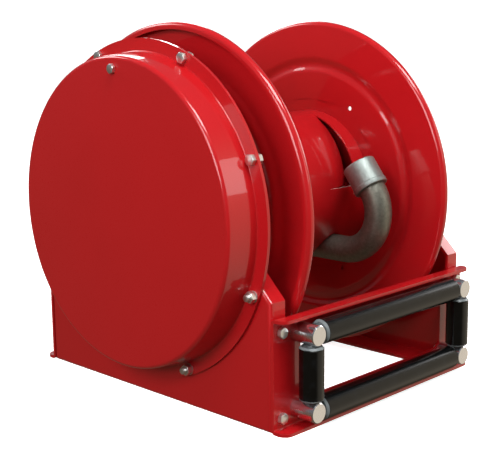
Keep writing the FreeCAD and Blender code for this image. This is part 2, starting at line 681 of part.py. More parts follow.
def hub(side):
    """A flanged hub against the outside of a disc, with the holes of its screws."""
    back = RIGHT_BACK_X if side == RIGHT else LEFT_BACK_X
    shaft_r = OUTLET_SHAFT_R if side == RIGHT else DRIVE_SHAFT_R
    flange = ring(back, back + side * HUB_FLANGE, HUB_FLANGE_R, shaft_r)
    sleeve = ring(back, back + side * HUB_LENGTH, shaft_r + HUB_WALL, shaft_r)
    near = back - side * PAST
    far = back + side * (HUB_FLANGE + PAST)
    holes = [ring(near, far, SMALL_SCREW_R + BOLT_CLEAR, y=y, z=z)
             for y, z in around(HUB_SCREWS, HUB_BOLT_CIRCLE)]
    return flange.fuse(sleeve).removeSplitter().cut(Part.makeCompound(holes))


def hub_fasteners(side):
    """Hub screws from outside and their nuts inside the drum."""
    back = RIGHT_BACK_X if side == RIGHT else LEFT_BACK_X
    face = RIGHT_FACE_X if side == RIGHT else LEFT_FACE_X
    length = HUB_FLANGE + DISC_SHEET + SMALL_NUT + THREAD_SPARE
    body = screw(SMALL_SCREW_R, SMALL_FLATS, SMALL_HEAD, length)
    small_nut = nut(SMALL_SCREW_R, SMALL_FLATS, SMALL_NUT)
    places = around(HUB_SCREWS, HUB_BOLT_CIRCLE)
    screws = [at(body, (back + side * HUB_FLANGE, y, z), (side, 0, 0)) for y, z in places]
    nuts = [at(small_nut, (face, y, z), (-side, 0, 0)) for y, z in places]
    return screws, nuts


def bearing_housing(side):
    """A cast flange bearing inside a side plate, bored for its bush and tapped for its screws."""
    bore = (OUTLET_SHAFT_R if side == RIGHT else DRIVE_SHAFT_R) + BUSH_WALL
    flange = ring(side * PLATE_INNER, side * (PLATE_INNER - HOUSING_FLANGE), HOUSING_FLANGE_R)
    neck = ring(side * PLATE_INNER, side * HOUSING_X, bore + HOUSING_WALL)
    body = flange.fuse(neck).removeSplitter()
    body = body.cut(ring(side * HALF_WIDTH, side * (HOUSING_X - PAST), bore))
    taps = [ring(side * HALF_WIDTH, side * (PLATE_INNER - HOUSING_FLANGE - PAST), SCREW_R, y=y, z=z)
            for y, z in housing_screw_places()]
    return body.cut(Part.makeCompound(taps))


def bearing_bush(side):
    """A bronze bush pressed into its housing, running on the shaft."""
    shaft_r = OUTLET_SHAFT_R if side == RIGHT else DRIVE_SHAFT_R
    return ring(side * PLATE_INNER, side * HOUSING_X, shaft_r + BUSH_WALL, shaft_r + RUNNING)


def housing_screws(side):
    """Four screws from outside the side plate, or from inside the spring case on the left."""
    face = HALF_WIDTH if side == RIGHT else -CASE_BACK_X
    body = screw(SCREW_R, SCREW_FLATS, SCREW_HEAD, face - PLATE_INNER + HOUSING_FLANGE)
    return [at(body, (side * face, y, z), (side, 0, 0)) for y, z in housing_screw_places()]


def shaft_collar(side):
    """A clamping collar that keeps the drum central between its bearings."""
    shaft_r = OUTLET_SHAFT_R if side == RIGHT else DRIVE_SHAFT_R
    near = side * (HOUSING_X - 2 * MOVING_CLEAR)
    return ring(near, near - side * COLLAR_LENGTH, shaft_r + COLLAR_WALL, shaft_r)


def drive_shaft():
    """The solid shaft from the spring arbor through the left bearing to the left disc."""
    return ring(ARBOR_END_X - SHAFT_OVERHANG, LEFT_FACE_X + SHAFT_STUB, DRIVE_SHAFT_R)


def spring_arbor():
    """The core on the shaft's outer end that the power spring winds on to."""
    return ring(ARBOR_END_X, ARBOR_END_X + SPRING_WIDTH, ARBOR_R, DRIVE_SHAFT_R)


def outlet_shaft():
    """The hollow shaft: waterway, bearing length, shoulder and swivel journal with a clip groove."""
    body = ring(OUTLET_ELBOW_X, SHAFT_SHOULDER_X, OUTLET_SHAFT_R)
    journal = ring(SHAFT_SHOULDER_X, JOURNAL_END_X, SWIVEL_JOURNAL_R)
    waterway = ring(OUTLET_ELBOW_X - PAST, JOURNAL_END_X + PAST, WATERWAY_R)
    groove = ring(CLIP_X, CLIP_X + WASHER, SWIVEL_JOURNAL_R + PAST, SWIVEL_JOURNAL_R - CLIP_GROOVE)
    return body.fuse(journal).cut(waterway).cut(groove)


def swivel_clip():
    """The retaining ring that stops the swivel coming off the journal."""
    clip = ring(CLIP_X, CLIP_X + WASHER, SWIVEL_JOURNAL_R + CLIP_RISE, SWIVEL_JOURNAL_R - CLIP_GROOVE)
    half = CLIP_OPENING / 2
    gap = box(CLIP_X - PAST, CLIP_X + WASHER + PAST, -half, half, AXLE_Z, AXLE_Z + SWIVEL_R)
    return clip.cut(gap)


def swivel_washer():
    """The thrust washer between the shaft's shoulder and the swivel."""
    x = SHAFT_SHOULDER_X + MOVING_CLEAR
    return ring(x, x + WASHER, SWIVEL_R, SWIVEL_JOURNAL_R + RUNNING)


def seal_centres():
    """Where the two seal rings lie along the swivel's bore, a third of the way from each end."""
    return [SWIVEL_X + SWIVEL_BORE / 3, CHAMBER_X - SWIVEL_BORE / 3]


def swivel_housing():
    """The swivel body: sealed bore, chamber closed by a cap, and a threaded port facing down."""
    port = rod(PORT_R, (PORT_X, 0, AXLE_Z), (0, 0, -1), SWIVEL_PORT_DROP)
    body = ring(SWIVEL_X, SWIVEL_END_X, SWIVEL_R).fuse(port).removeSplitter()
    body = body.cut(ring(SWIVEL_X - PAST, CHAMBER_X + PAST, SWIVEL_JOURNAL_R + RUNNING))
    body = body.cut(ring(CHAMBER_X, SWIVEL_END_X + PAST, CHAMBER_R))
    body = body.cut(rod(THREAD_R, (PORT_X, 0, AXLE_Z), (0, 0, -1), SWIVEL_PORT_DROP + PAST))
    groove_r = SWIVEL_JOURNAL_R + RUNNING + 2 * SEAL_R
    half = SEAL_R + SEAL_CLEAR
    for x in seal_centres():
        body = body.cut(ring(x - half, x + half, groove_r))
    return body


def swivel_cap():
    """The screwed plug that closes the chamber, with a hexagon to turn it."""
    plug = ring(SWIVEL_END_X - SWIVEL_CAP, SWIVEL_END_X, CHAMBER_R)
    return plug.fuse(at(hexagon(SWIVEL_R, NUT_HEIGHT), (SWIVEL_END_X, 0, AXLE_Z), (1, 0, 0)))


def swivel_seals():
    """Two rubber rings in the swivel's grooves, just clear of the journal."""
    middle = SWIVEL_JOURNAL_R + RUNNING + SEAL_R
    return [Part.makeTorus(middle, SEAL_R, Vector(x, 0, AXLE_Z), Vector(1, 0, 0)) for x in seal_centres()]


def ratchet_wheel():
    """Saw teeth round the right hub; each tooth has a radial face and a long back."""
    x = RATCHET_X - RATCHET_THICK
    points = []
    for k in range(RATCHET_TEETH):
        root = 2 * math.pi * k / RATCHET_TEETH
        tip = root + 2 * math.pi / RATCHET_TEETH
        for radius, angle in ((RATCHET_ROOT_R, root), (RATCHET_TIP_R, tip)):
            points.append(Vector(x, radius * math.sin(angle), AXLE_Z - radius * math.cos(angle)))
    wheel = Part.Face(Part.makePolygon(points + points[:1])).extrude(Vector(RATCHET_THICK, 0, 0))
    return wheel.cut(ring(x - PAST, x + RATCHET_THICK + PAST, OUTLET_SHAFT_R + HUB_WALL))


def latch_pawl():
    """A lever whose tip lies in a tooth gap, a tooth clearance away from the faces on both sides."""
    x = RATCHET_X - RATCHET_THICK
    pitch = 2 * math.pi / RATCHET_TEETH
    tip_y = RATCHET_TIP_R * math.sin(pitch)
    tip_z = -RATCHET_TIP_R * math.cos(pitch)
    top = -RATCHET_ROOT_R - 2 * TOOTH_CLEAR
    corners = [(TOOTH_CLEAR, top), (tip_y, tip_z - 2 * TOOTH_CLEAR),
               (PAWL_PIVOT_Y, PAWL_HALF_HEIGHT - PAWL_PIVOT_DROP),
               (PAWL_PIVOT_Y, -PAWL_HALF_HEIGHT - PAWL_PIVOT_DROP),
               (5 * TOOTH_CLEAR, -RATCHET_TIP_R - 3 * TOOTH_CLEAR), (TOOTH_CLEAR, -RATCHET_TIP_R)]
    points = [Vector(x, y, AXLE_Z + z) for y, z in corners]
    lever = Part.Face(Part.makePolygon(points + points[:1])).extrude(Vector(RATCHET_THICK, 0, 0))
    boss = ring(x, x + RATCHET_THICK, PAWL_BOSS_R, y=PAWL_PIVOT_Y, z=PAWL_Z)
    bore = ring(x - PAST, x + RATCHET_THICK + PAST, PAWL_PIVOT_R + RUNNING, y=PAWL_PIVOT_Y, z=PAWL_Z)
    return lever.fuse(boss).removeSplitter().cut(bore)


LATCH_STUD_R = PAWL_BOSS_R - 2 * LATCH_WIRE_R
LATCH_CLIP_X = RATCHET_X - RATCHET_THICK - MOVING_CLEAR - LATCH_CLIP


def latch_stud():
    """A shouldered stud from the side plate: the pawl swings on its small end."""
    shoulder = RATCHET_X + MOVING_CLEAR
    end = LATCH_CLIP_X - LATCH_CLIP
    nut_side = HALF_WIDTH + NUT_HEIGHT + THREAD_SPARE
    stud = ring(end, nut_side, PAWL_PIVOT_R, y=PAWL_PIVOT_Y, z=PAWL_Z)
    collar = ring(shoulder, PLATE_INNER, LATCH_STUD_R, y=PAWL_PIVOT_Y, z=PAWL_Z)
    groove = ring(LATCH_CLIP_X, LATCH_CLIP_X + LATCH_CLIP, PAWL_PIVOT_R + PAST, PAWL_PIVOT_R - CLIP_GROOVE,
                  y=PAWL_PIVOT_Y, z=PAWL_Z)
    return stud.fuse(collar).removeSplitter().cut(groove)


def latch_clip():
    """The spring clip in the stud's groove, open at the bottom."""
    clip = ring(LATCH_CLIP_X, LATCH_CLIP_X + LATCH_CLIP, PAWL_PIVOT_R + CLIP_RISE, PAWL_PIVOT_R - CLIP_GROOVE,
                y=PAWL_PIVOT_Y, z=PAWL_Z)
    half = PAWL_PIVOT_R / 2
    mouth = box(LATCH_CLIP_X - PAST, LATCH_CLIP_X + LATCH_CLIP + PAST,
                PAWL_PIVOT_Y - half, PAWL_PIVOT_Y + half, PAWL_Z - 2 * PAWL_PIVOT_R, PAWL_Z)
    return clip.cut(mouth)


def latch_spring():
    """A torsion spring round the stud: one leg lifts the pawl, the other bears on the plate.

    The coil is a plain sleeve of the coil's size.
    """
    inner = LATCH_STUD_R + MOVING_CLEAR
    near = RATCHET_X + 2 * MOVING_CLEAR
    coil = ring(near, near + LATCH_COIL, inner + 2 * LATCH_WIRE_R, inner, y=PAWL_PIVOT_Y, z=PAWL_Z)
    wire = inner + LATCH_WIRE_R
    low = PAWL_Z - PAWL_BOSS_R - LATCH_WIRE_R
    leg = PAWL_PIVOT_Y / 2
    first = near + LATCH_WIRE_R
    last = near + LATCH_COIL - LATCH_WIRE_R
    lift = rod(LATCH_WIRE_R, (first, PAWL_PIVOT_Y, low), (0, -1, 0), leg)
    hook = rod(LATCH_WIRE_R, (first, PAWL_PIVOT_Y - leg, low), (-1, 0, 0), RATCHET_THICK)
    brace = rod(LATCH_WIRE_R, (last, PAWL_PIVOT_Y + wire, PAWL_Z), (1, 0, 0), PLATE_INNER - last)
    return coil.fuse(lift).fuse(hook).fuse(brace).removeSplitter()


def latch_nut():
    """The nut that holds the stud outside the side plate."""
    body = nut(PAWL_PIVOT_R, SCREW_FLATS, NUT_HEIGHT)
    return at(body, (HALF_WIDTH, PAWL_PIVOT_Y, PAWL_Z), (1, 0, 0))


# ---- water pipe ----
def bend_point(centre, radius, degrees):
    """A point (y, z) on a bend, measured from straight below its centre towards -Y."""
    a = math.radians(degrees)
    return centre[0] - radius * math.sin(a), centre[1] - radius * math.cos(a)


def riser_path():
    """From the hollow shaft, down, and round to the front at the height of the gooseneck."""
    bend = RISER_BEND_R
    cut_in = bend * (1 - math.sqrt(0.5))
    shaft_end = Vector(OUTLET_ELBOW_X, 0, AXLE_Z)
    first_middle = Vector(PIPE_X + cut_in, 0, AXLE_Z - cut_in)
    drop_start = Vector(PIPE_X, 0, AXLE_Z - bend)
    drop_end = Vector(PIPE_X, 0, PIPE_EXIT_Z + bend)
    second_middle = Vector(PIPE_X, -cut_in, PIPE_EXIT_Z + cut_in)
    level_start = Vector(PIPE_X, -bend, PIPE_EXIT_Z)
    level_end = Vector(PIPE_X, RISER_END_Y, PIPE_EXIT_Z)
    edges = [Part.Arc(shaft_end, first_middle, drop_start), Part.LineSegment(drop_start, drop_end),
             Part.Arc(drop_end, second_middle, level_start), Part.LineSegment(level_start, level_end)]
    return Part.Wire([edge.toShape() for edge in edges])


def goose_end():
    """Where the gooseneck ends and which way it points there."""
    centre = (GOOSE_CENTRE_Y, GOOSE_CENTRE_Z)
    y, z = bend_point(centre, GOOSE_BEND_R, GOOSE_TURN)
    a = math.radians(GOOSE_TURN)
    return Vector(PIPE_X, y, z), Vector(0, -math.cos(a), math.sin(a))


def gooseneck_path():
    """Straight out of the drum, then one bend up and back towards the pocket."""
    centre = (GOOSE_CENTRE_Y, GOOSE_CENTRE_Z)
    low = Vector(PIPE_X, GOOSE_CENTRE_Y, PIPE_EXIT_Z)
    start = Vector(PIPE_X, RISER_END_Y, low.z)
    middle = Vector(PIPE_X, *bend_point(centre, GOOSE_BEND_R, GOOSE_TURN / 2))
    end = goose_end()[0]
    return Part.Wire([Part.LineSegment(start, low).toShape(), Part.Arc(low, middle, end).toShape()])


def hose_coupling():
    """A socket on the gooseneck's end, threaded inside for the hose."""
    end, way = goose_end()
    body = Part.makeCylinder(COUPLING_R, COUPLING_LENGTH, end, way)
    body = body.makeChamfer(COUPLING_CHAMFER, [e for e in body.Edges if e.isClosed()])
    return body.cut(Part.makeCylinder(THREAD_R, COUPLING_LENGTH + 2 * PAST, end - way * PAST, way))


def main():
    os.makedirs("parts", exist_ok=True)
    save("left_side_plate", side_plate(LEFT))
    save("right_side_plate", side_plate(RIGHT))
    save("front_guide_plate", front_guide_plate())
    save("rear_cross_plate", cross_plate(1))
    fasteners = [plate_fasteners(end) for end in (-1, 1)]
    save("plate_screws", *fasteners[0][0], *fasteners[1][0])
    save("plate_nuts", *fasteners[0][1], *fasteners[1][1])
    save("roller_posts", *[roller_post(x, z) for x, z in post_places()])
    save("roller_post_screws", *[post_screw(x, z) for x, z in post_places()])
    guide = rollers()
    save("level_roller_axles", guide["top"][0], guide["bottom"][0])
    save("upright_roller_axles", guide["left"][0], guide["right"][0])
    for name, (axle, tube, bushes) in guide.items():
        save(name + "_roller", tube)
        save(name + "_roller_bushes", *bushes)
    save("spring_case_back", spring_case_back())
    save("spring_case_cover", spring_case_cover())
    screws, nuts, bolts, bolt_nuts = case_fasteners()
    save("case_screws", *screws)
    save("case_screw_nuts", *nuts)
    save("case_frame_bolts", *bolts)
    save("case_frame_nuts", *bolt_nuts)
    stud, fixing = spring_anchor()
    save("spring_anchor_stud", stud)
    save("spring_anchor_screw", fixing)
    save("power_spring", power_spring())
    save("spring_arbor", spring_arbor())
    save("drive_shaft", drive_shaft())
    save("outlet_shaft", outlet_shaft())
    save("left_reel_disc", reel_disc(LEFT))
    save("right_reel_disc", reel_disc(RIGHT))
    save("drum_shell", drum_shell())
    for name, side in (("left", LEFT), ("right", RIGHT)):
        save(name + "_hub", hub(side))
        save(name + "_bearing_housing", bearing_housing(side))
        save(name + "_bearing_bush", bearing_bush(side))
        save(name + "_shaft_collar", shaft_collar(side))
    save("bearing_housing_screws", *housing_screws(LEFT), *housing_screws(RIGHT))
    fasteners = [hub_fasteners(side) for side in SIDES]
    save("hub_screws", *fasteners[0][0], *fasteners[1][0])
    save("hub_nuts", *fasteners[0][1], *fasteners[1][1])
    save("riser_pipe", pipe(riser_path(), PIPE_R, WATERWAY_R))
    save("gooseneck_pipe", pipe(gooseneck_path(), PIPE_R, WATERWAY_R))
    save("hose_coupling", hose_coupling())
    save("ratchet_wheel", ratchet_wheel())
    save("latch_pawl", latch_pawl())
    save("latch_stud", latch_stud())
    save("latch_clip", latch_clip())
    save("latch_nut", latch_nut())
    save("latch_spring", latch_spring())
    save("swivel_housing", swivel_housing())
    save("swivel_cap", swivel_cap())
    save("swivel_seals", *swivel_seals())
    save("swivel_clip", swivel_clip())
    save("swivel_washer", swivel_washer())


main()
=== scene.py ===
import json
import math

import bmesh
import bpy
import numpy as np
from mathutils import Matrix, Vector

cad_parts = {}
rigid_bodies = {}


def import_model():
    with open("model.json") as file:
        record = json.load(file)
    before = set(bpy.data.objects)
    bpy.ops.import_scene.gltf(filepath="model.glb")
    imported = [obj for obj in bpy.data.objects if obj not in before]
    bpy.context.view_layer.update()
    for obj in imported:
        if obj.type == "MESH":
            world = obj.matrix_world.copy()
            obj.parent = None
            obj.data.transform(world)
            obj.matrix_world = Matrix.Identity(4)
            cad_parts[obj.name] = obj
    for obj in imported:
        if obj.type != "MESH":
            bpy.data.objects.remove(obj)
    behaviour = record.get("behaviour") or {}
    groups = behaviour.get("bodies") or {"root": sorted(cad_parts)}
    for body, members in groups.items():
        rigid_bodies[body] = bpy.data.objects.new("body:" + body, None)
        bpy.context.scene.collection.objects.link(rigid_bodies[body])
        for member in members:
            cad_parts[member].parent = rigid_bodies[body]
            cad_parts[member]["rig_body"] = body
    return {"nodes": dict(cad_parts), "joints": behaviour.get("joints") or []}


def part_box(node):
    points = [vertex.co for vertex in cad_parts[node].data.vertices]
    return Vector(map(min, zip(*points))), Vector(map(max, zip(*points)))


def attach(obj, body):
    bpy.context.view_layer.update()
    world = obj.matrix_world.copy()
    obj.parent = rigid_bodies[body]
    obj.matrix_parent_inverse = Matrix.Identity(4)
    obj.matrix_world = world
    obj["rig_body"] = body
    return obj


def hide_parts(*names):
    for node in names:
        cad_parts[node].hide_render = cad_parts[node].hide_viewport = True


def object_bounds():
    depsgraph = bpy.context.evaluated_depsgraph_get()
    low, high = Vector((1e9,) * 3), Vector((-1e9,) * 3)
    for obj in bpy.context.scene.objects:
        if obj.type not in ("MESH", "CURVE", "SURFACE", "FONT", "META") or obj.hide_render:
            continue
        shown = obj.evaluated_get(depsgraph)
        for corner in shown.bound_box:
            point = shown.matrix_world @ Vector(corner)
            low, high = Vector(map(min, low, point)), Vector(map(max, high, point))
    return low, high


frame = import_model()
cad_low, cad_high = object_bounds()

# All lengths below are in metres unless a name or a comment says millimetres.

# ======================================================================== room and camera
# A pale floor that runs up into a pale wall all round, with one big soft light high on the
# left, a long one overhead, a weak one in front and two behind for the rims.

STAGE_FLAT = 3.2
STAGE_BEND = 2.0
STAGE_WALL = 3.0
STAGE_GLOW = 0.85
WHITE = "#FFFFFF"
MERGE = 1e-6
CREASE = 35


def linear(hex_colour):
    """An sRGB hex colour as linear RGBA: each channel through the sRGB curve."""
    channels = [int(hex_colour[i:i + 2], 16) / 255 for i in (1, 3, 5)]
    return [c / 12.92 if c <= 0.04045 else ((c + 0.055) / 1.055) ** 2.4 for c in channels] + [1.0]


def grid_faces(rows, columns, loop_rows=False, loop_columns=False):
    """Four-sided faces between the neighbouring points of a rows x columns grid."""
    r = np.arange(rows if loop_rows else rows - 1)
    c = np.arange(columns if loop_columns else columns - 1)
    r, c = np.meshgrid(r, c, indexing="ij")
    r_next = (r + 1) % rows
    c_next = (c + 1) % columns
    corners = [r * columns + c, r * columns + c_next,
               r_next * columns + c_next, r_next * columns + c]
    return np.stack(corners, -1).reshape(-1, 4)


def mesh_of(name, surfaces, face_out=True, merge=MERGE):
    """One mesh from grids of points; each is (points, loop_rows, loop_columns, faces kept or None).

    Points closer than the merge distance become one, which closes poles and seams, and on a
    closed shape the faces are turned outwards.
    """
    points, faces, offset = [], [], 0
    for grid, loop_rows, loop_columns, kept in surfaces:
        rows, columns = grid.shape[:2]
        quads = grid_faces(rows, columns, loop_rows, loop_columns)
        faces.append((quads if kept is None else quads[kept]) + offset)
        points.append(grid.reshape(-1, 3))
        offset += rows * columns
    mesh = bpy.data.meshes.new(name)
    mesh.from_pydata(np.concatenate(points).tolist(), [], np.concatenate(faces).tolist())
    shape = bmesh.new()
    shape.from_mesh(mesh)
    bmesh.ops.remove_doubles(shape, verts=shape.verts, dist=merge)
    bmesh.ops.dissolve_degenerate(shape, edges=shape.edges, dist=merge)
    loose = [v for v in shape.verts if not v.link_faces]
    bmesh.ops.delete(shape, geom=loose, context="VERTS")
    if face_out:
        bmesh.ops.recalc_face_normals(shape, faces=shape.faces)
    shape.to_mesh(mesh)
    shape.free()
    return mesh


def place(name, mesh, crease_degrees=CREASE):
    """An object at the origin, shaded smooth except across edges sharper than the crease."""
    mesh.shade_smooth()
    mesh.set_sharp_from_angle(angle=math.radians(crease_degrees))
    piece = bpy.data.objects.new(name, mesh)
    bpy.context.scene.collection.objects.link(piece)
    return piece


def square_to(axis):
    """Two unit vectors square to an axis and to each other."""
    axis = np.asarray(axis, float)
    helper = np.array([0.0, 0.0, 1.0]) if abs(axis[2]) < 0.9 else np.array([1.0, 0.0, 0.0])
    side = np.cross(helper, axis)
    side = side / np.linalg.norm(side)
    return side, np.cross(axis, side)


def turned(profile, origin, axis, segments=128):
    """A profile spun about an axis: each point is
    origin + along * axis + radius * (cos a * side + sin a * up)."""
    profile = np.asarray(profile, float)
    side, up = square_to(axis)
    angle = np.linspace(0, 2 * np.pi, segments, endpoint=False)
    rim = np.cos(angle)[:, None] * side + np.sin(angle)[:, None] * up
    along = profile[:, 0][:, None, None] * np.asarray(axis, float)
    return np.asarray(origin, float) + along + profile[:, 1][:, None, None] * rim


def add_node(tree, kind, values=(), links=(), **properties):
    """Adds one shader node with its properties, its plain input values and its links."""
    node = tree.nodes.new(kind)
    for key, value in properties.items():
        setattr(node, key, value)
    for socket, value in dict(values).items():
        node.inputs[socket].default_value = value
    for socket, output in dict(links).items():
        tree.links.new(output, node.inputs[socket])
    return node


def empty_material(name):
    """A material with an empty node tree, and that tree."""
    material = bpy.data.materials.new(name)
    material.use_nodes = True
    material.node_tree.nodes.clear()
    return material, material.node_tree


def cells(millimetres):
    """How many noise cells to a metre give a pattern that repeats in so many millimetres."""
    return 1000 / millimetres


def painted_plaster():
    """Emulsion paint rolled on plaster: matt, near white, lit from within so that it stays pale."""
    material, tree = empty_material("painted_plaster")
    speckle = add_node(tree, "ShaderNodeTexNoise", {"Scale": cells(25), "Detail": 3.0})
    tone = add_node(tree, "ShaderNodeMapRange", {"To Min": 0.86, "To Max": 0.90},
                    {"Value": speckle.outputs["Fac"]})
    matt = add_node(tree, "ShaderNodeBsdfDiffuse", {"Roughness": 1.0},
                    {"Color": tone.outputs["Result"]})
    glow = add_node(tree, "ShaderNodeEmission", {"Color": linear(WHITE), "Strength": STAGE_GLOW})
    both = add_node(tree, "ShaderNodeAddShader", (), {0: matt.outputs[0], 1: glow.outputs[0]})
    add_node(tree, "ShaderNodeOutputMaterial", (), {"Surface": both.outputs[0]})
    return material


bend_angle = np.linspace(0, np.pi / 2, 16)
stage_profile = [(0.0, 0.0), (0.0, STAGE_FLAT)]
stage_profile += list(zip(STAGE_BEND * (1 - np.cos(bend_angle)),
                          STAGE_FLAT + STAGE_BEND * np.sin(bend_angle)))
stage_profile += [(STAGE_BEND + STAGE_WALL, STAGE_FLAT + STAGE_BEND)]
stage_grid = turned(stage_profile, (0, 0, cad_low.z), (0, 0, 1), 96)
floor = place("studio_floor", mesh_of("studio_floor", [(stage_grid, False, True, None)],
                                      face_out=False))
floor.data.materials.append(painted_plaster())
floor.visible_glossy = False
floor.visible_diffuse = False


def softbox(name, position, aim, width, height, watts):
    """A rectangular soft light that faces a point."""
    data = bpy.data.lights.new(name, "AREA")
    data.shape = "RECTANGLE"
    data.size = width
    data.size_y = height
    data.energy = watts
    light = bpy.data.objects.new(name, data)
    light.location = position
    light.rotation_euler = (Vector(aim) - Vector(position)).to_track_quat("-Z", "Y").to_euler()
    bpy.context.scene.collection.objects.link(light)


softbox("left_softbox", (-2.9, -0.7, 1.5), (0, 0, 0.25), 1.5, 1.5, 56)
softbox("overhead_softbox", (-0.4, -1.1, 2.5), (0, 0, 0.2), 1.5, 0.8, 52)
softbox("front_softbox", (1.2, -3.0, 1.6), (0, 0, 0.3), 0.9, 1.3, 10)
softbox("right_softbox", (2.9, -0.5, 1.3), (0, 0, 0.25), 1.2, 1.2, 22)
softbox("back_softbox", (1.9, 2.6, 1.9), (0, 0, 0.3), 1.2, 1.0, 30)
softbox("rim_softbox", (-0.9, 2.6, 2.3), (0, 0, 0.3), 1.5, 0.7, 22)

AIR_BELOW = (0.13, 0.10, 0.07, 1)
AIR_ABOVE = (0.14, 0.15, 0.16, 1)
AIR_CREAM = (0.80, 0.70, 0.55, 1)
CREAM_SIDE = (0.75, -0.66, -0.10)


def studio_air():
    """Dim light from all round, brown below and grey above, with a bright cream side.

    The cream share grows with the dot product of the direction and CREAM_SIDE.
    """
    air = bpy.data.worlds.new("studio_air")
    air.use_nodes = True
    tree = air.node_tree
    direction = add_node(tree, "ShaderNodeTexCoord").outputs["Generated"]
    height = add_node(tree, "ShaderNodeSeparateXYZ", (), {"Vector": direction}).outputs["Z"]
    share = add_node(tree, "ShaderNodeMapRange", {"From Min": -0.15, "From Max": 0.25},
                     {"Value": height}, interpolation_type="SMOOTHSTEP")
    tint = add_node(tree, "ShaderNodeMix", {"A": AIR_BELOW, "B": AIR_ABOVE},
                    {"Factor": share.outputs["Result"]}, data_type="RGBA")
    towards = add_node(tree, "ShaderNodeVectorMath", {1: CREAM_SIDE}, {0: direction},
                       operation="DOT_PRODUCT")
    cream = add_node(tree, "ShaderNodeMapRange", {"From Min": 0.55, "From Max": 0.90},
                     {"Value": towards.outputs["Value"]}, interpolation_type="SMOOTHSTEP")
    both = add_node(tree, "ShaderNodeMix", {"B": AIR_CREAM},
                    {"Factor": cream.outputs["Result"], "A": tint.outputs["Result"]},
                    data_type="RGBA")
    tree.links.new(both.outputs["Result"], tree.nodes["Background"].inputs["Color"])
    return air


bpy.context.scene.world = studio_air()
bpy.context.scene.view_settings.view_transform = "Standard"

VIEW_AZIMUTH = math.radians(-45.65)
VIEW_ELEVATION = math.radians(10.71)
VIEW_ROLL = math.radians(-0.56)
VIEW_TARGET = Vector((0.1087, 0.1118, 0.1891))
VIEW_DISTANCE = 1.8554
SENSOR_MM = 36
LENS_MM = 75.81

back = Vector((math.sin(VIEW_AZIMUTH) * math.cos(VIEW_ELEVATION),
               -math.cos(VIEW_AZIMUTH) * math.cos(VIEW_ELEVATION), math.sin(VIEW_ELEVATION)))
level_right = Vector((0, 0, 1)).cross(back).normalized()
level_up = back.cross(level_right)
view_right = level_right * math.cos(VIEW_ROLL) + level_up * math.sin(VIEW_ROLL)
view_up = level_up * math.cos(VIEW_ROLL) - level_right * math.sin(VIEW_ROLL)
camera_data = bpy.data.cameras.new("studio_camera")
camera_data.sensor_width = SENSOR_MM
camera_data.lens = LENS_MM
camera = bpy.data.objects.new("studio_camera", camera_data)
camera.matrix_world = (Matrix.Translation(VIEW_TARGET + back * VIEW_DISTANCE)
                       @ Matrix((view_right, view_up, back)).transposed().to_4x4())
bpy.context.scene.collection.objects.link(camera)
bpy.context.scene.camera = camera

# ======================================================================== bent frame plates
# Two side plates of 4.8 mm steel folded inwards on all edges, and two channels across them.
# They are sheared, punched, folded on a press brake and coated in gloss red baked enamel.

SHEET_EDGE = 0.0005
FLAT_ANGLE = math.radians(0.2)
ENAMEL_CREASE = 30
MEET = 4e-6
ENAMEL_PEEL_MM = 3
ENAMEL_WAVE_MM = 110
ENAMEL_DUST_MM = 1.1

axle = Vector(next(j for j in frame["joints"] if j["name"] == "drum_spin")["pos_m"])


def red_enamel():
    """Baked enamel on steel: saturated red under a clear gloss film, with orange peel 3 mm across
    and the slow waves that pressed sheet keeps, so that highlights wander. The dust in the film
    is drawn coarser than real, 1.1 mm, so that it shows."""
    material, tree = empty_material("red_baked_enamel")
    spot = add_node(tree, "ShaderNodeTexCoord").outputs["Object"]
    sizes = {"tint": (ENAMEL_WAVE_MM, 2), "wave": (ENAMEL_WAVE_MM, 0),
             "peel": (ENAMEL_PEEL_MM, 1), "dust": (ENAMEL_DUST_MM, 2)}
    noise = {part: add_node(tree, "ShaderNodeTexNoise", {"Scale": cells(mm), "Detail": octaves},
                            {"Vector": spot}).outputs["Fac"]
             for part, (mm, octaves) in sizes.items()}
    red = add_node(tree, "ShaderNodeMix", {"A": linear("#BC171C"), "B": linear("#C4191F")},
                   {"Factor": noise["tint"]}, data_type="RGBA")
    rough = add_node(tree, "ShaderNodeMapRange", {"To Min": 0.24, "To Max": 0.34},
                     {"Value": noise["dust"]})
    bends = add_node(tree, "ShaderNodeBump", {"Strength": 0.05, "Distance": 0.004},
                     {"Height": noise["wave"]})
    skin = add_node(tree, "ShaderNodeBump", {"Strength": 0.06, "Distance": 0.0002},
                    {"Height": noise["peel"], "Normal": bends.outputs["Normal"]})
    paint = add_node(tree, "ShaderNodeBsdfPrincipled",
                     {"Specular IOR Level": 0.15, "Coat Weight": 0.90, "Coat Roughness": 0.02,
                      "Coat IOR": 1.48},
                     {"Base Color": red.outputs["Result"], "Roughness": rough.outputs["Result"],
                      "Normal": skin.outputs["Normal"], "Coat Normal": skin.outputs["Normal"]})
    add_node(tree, "ShaderNodeOutputMaterial", (), {"Surface": paint.outputs["BSDF"]})
    return material


def round_edges(piece, width, angle_degrees):
    """Rounds a piece's edges that are sharper than an angle, in two steps."""
    rounding = piece.modifiers.new("rounded_edges", "BEVEL")
    rounding.width = width
    rounding.segments = 2
    rounding.limit_method = "ANGLE"
    rounding.angle_limit = math.radians(angle_degrees)
    rounding.harden_normals = True


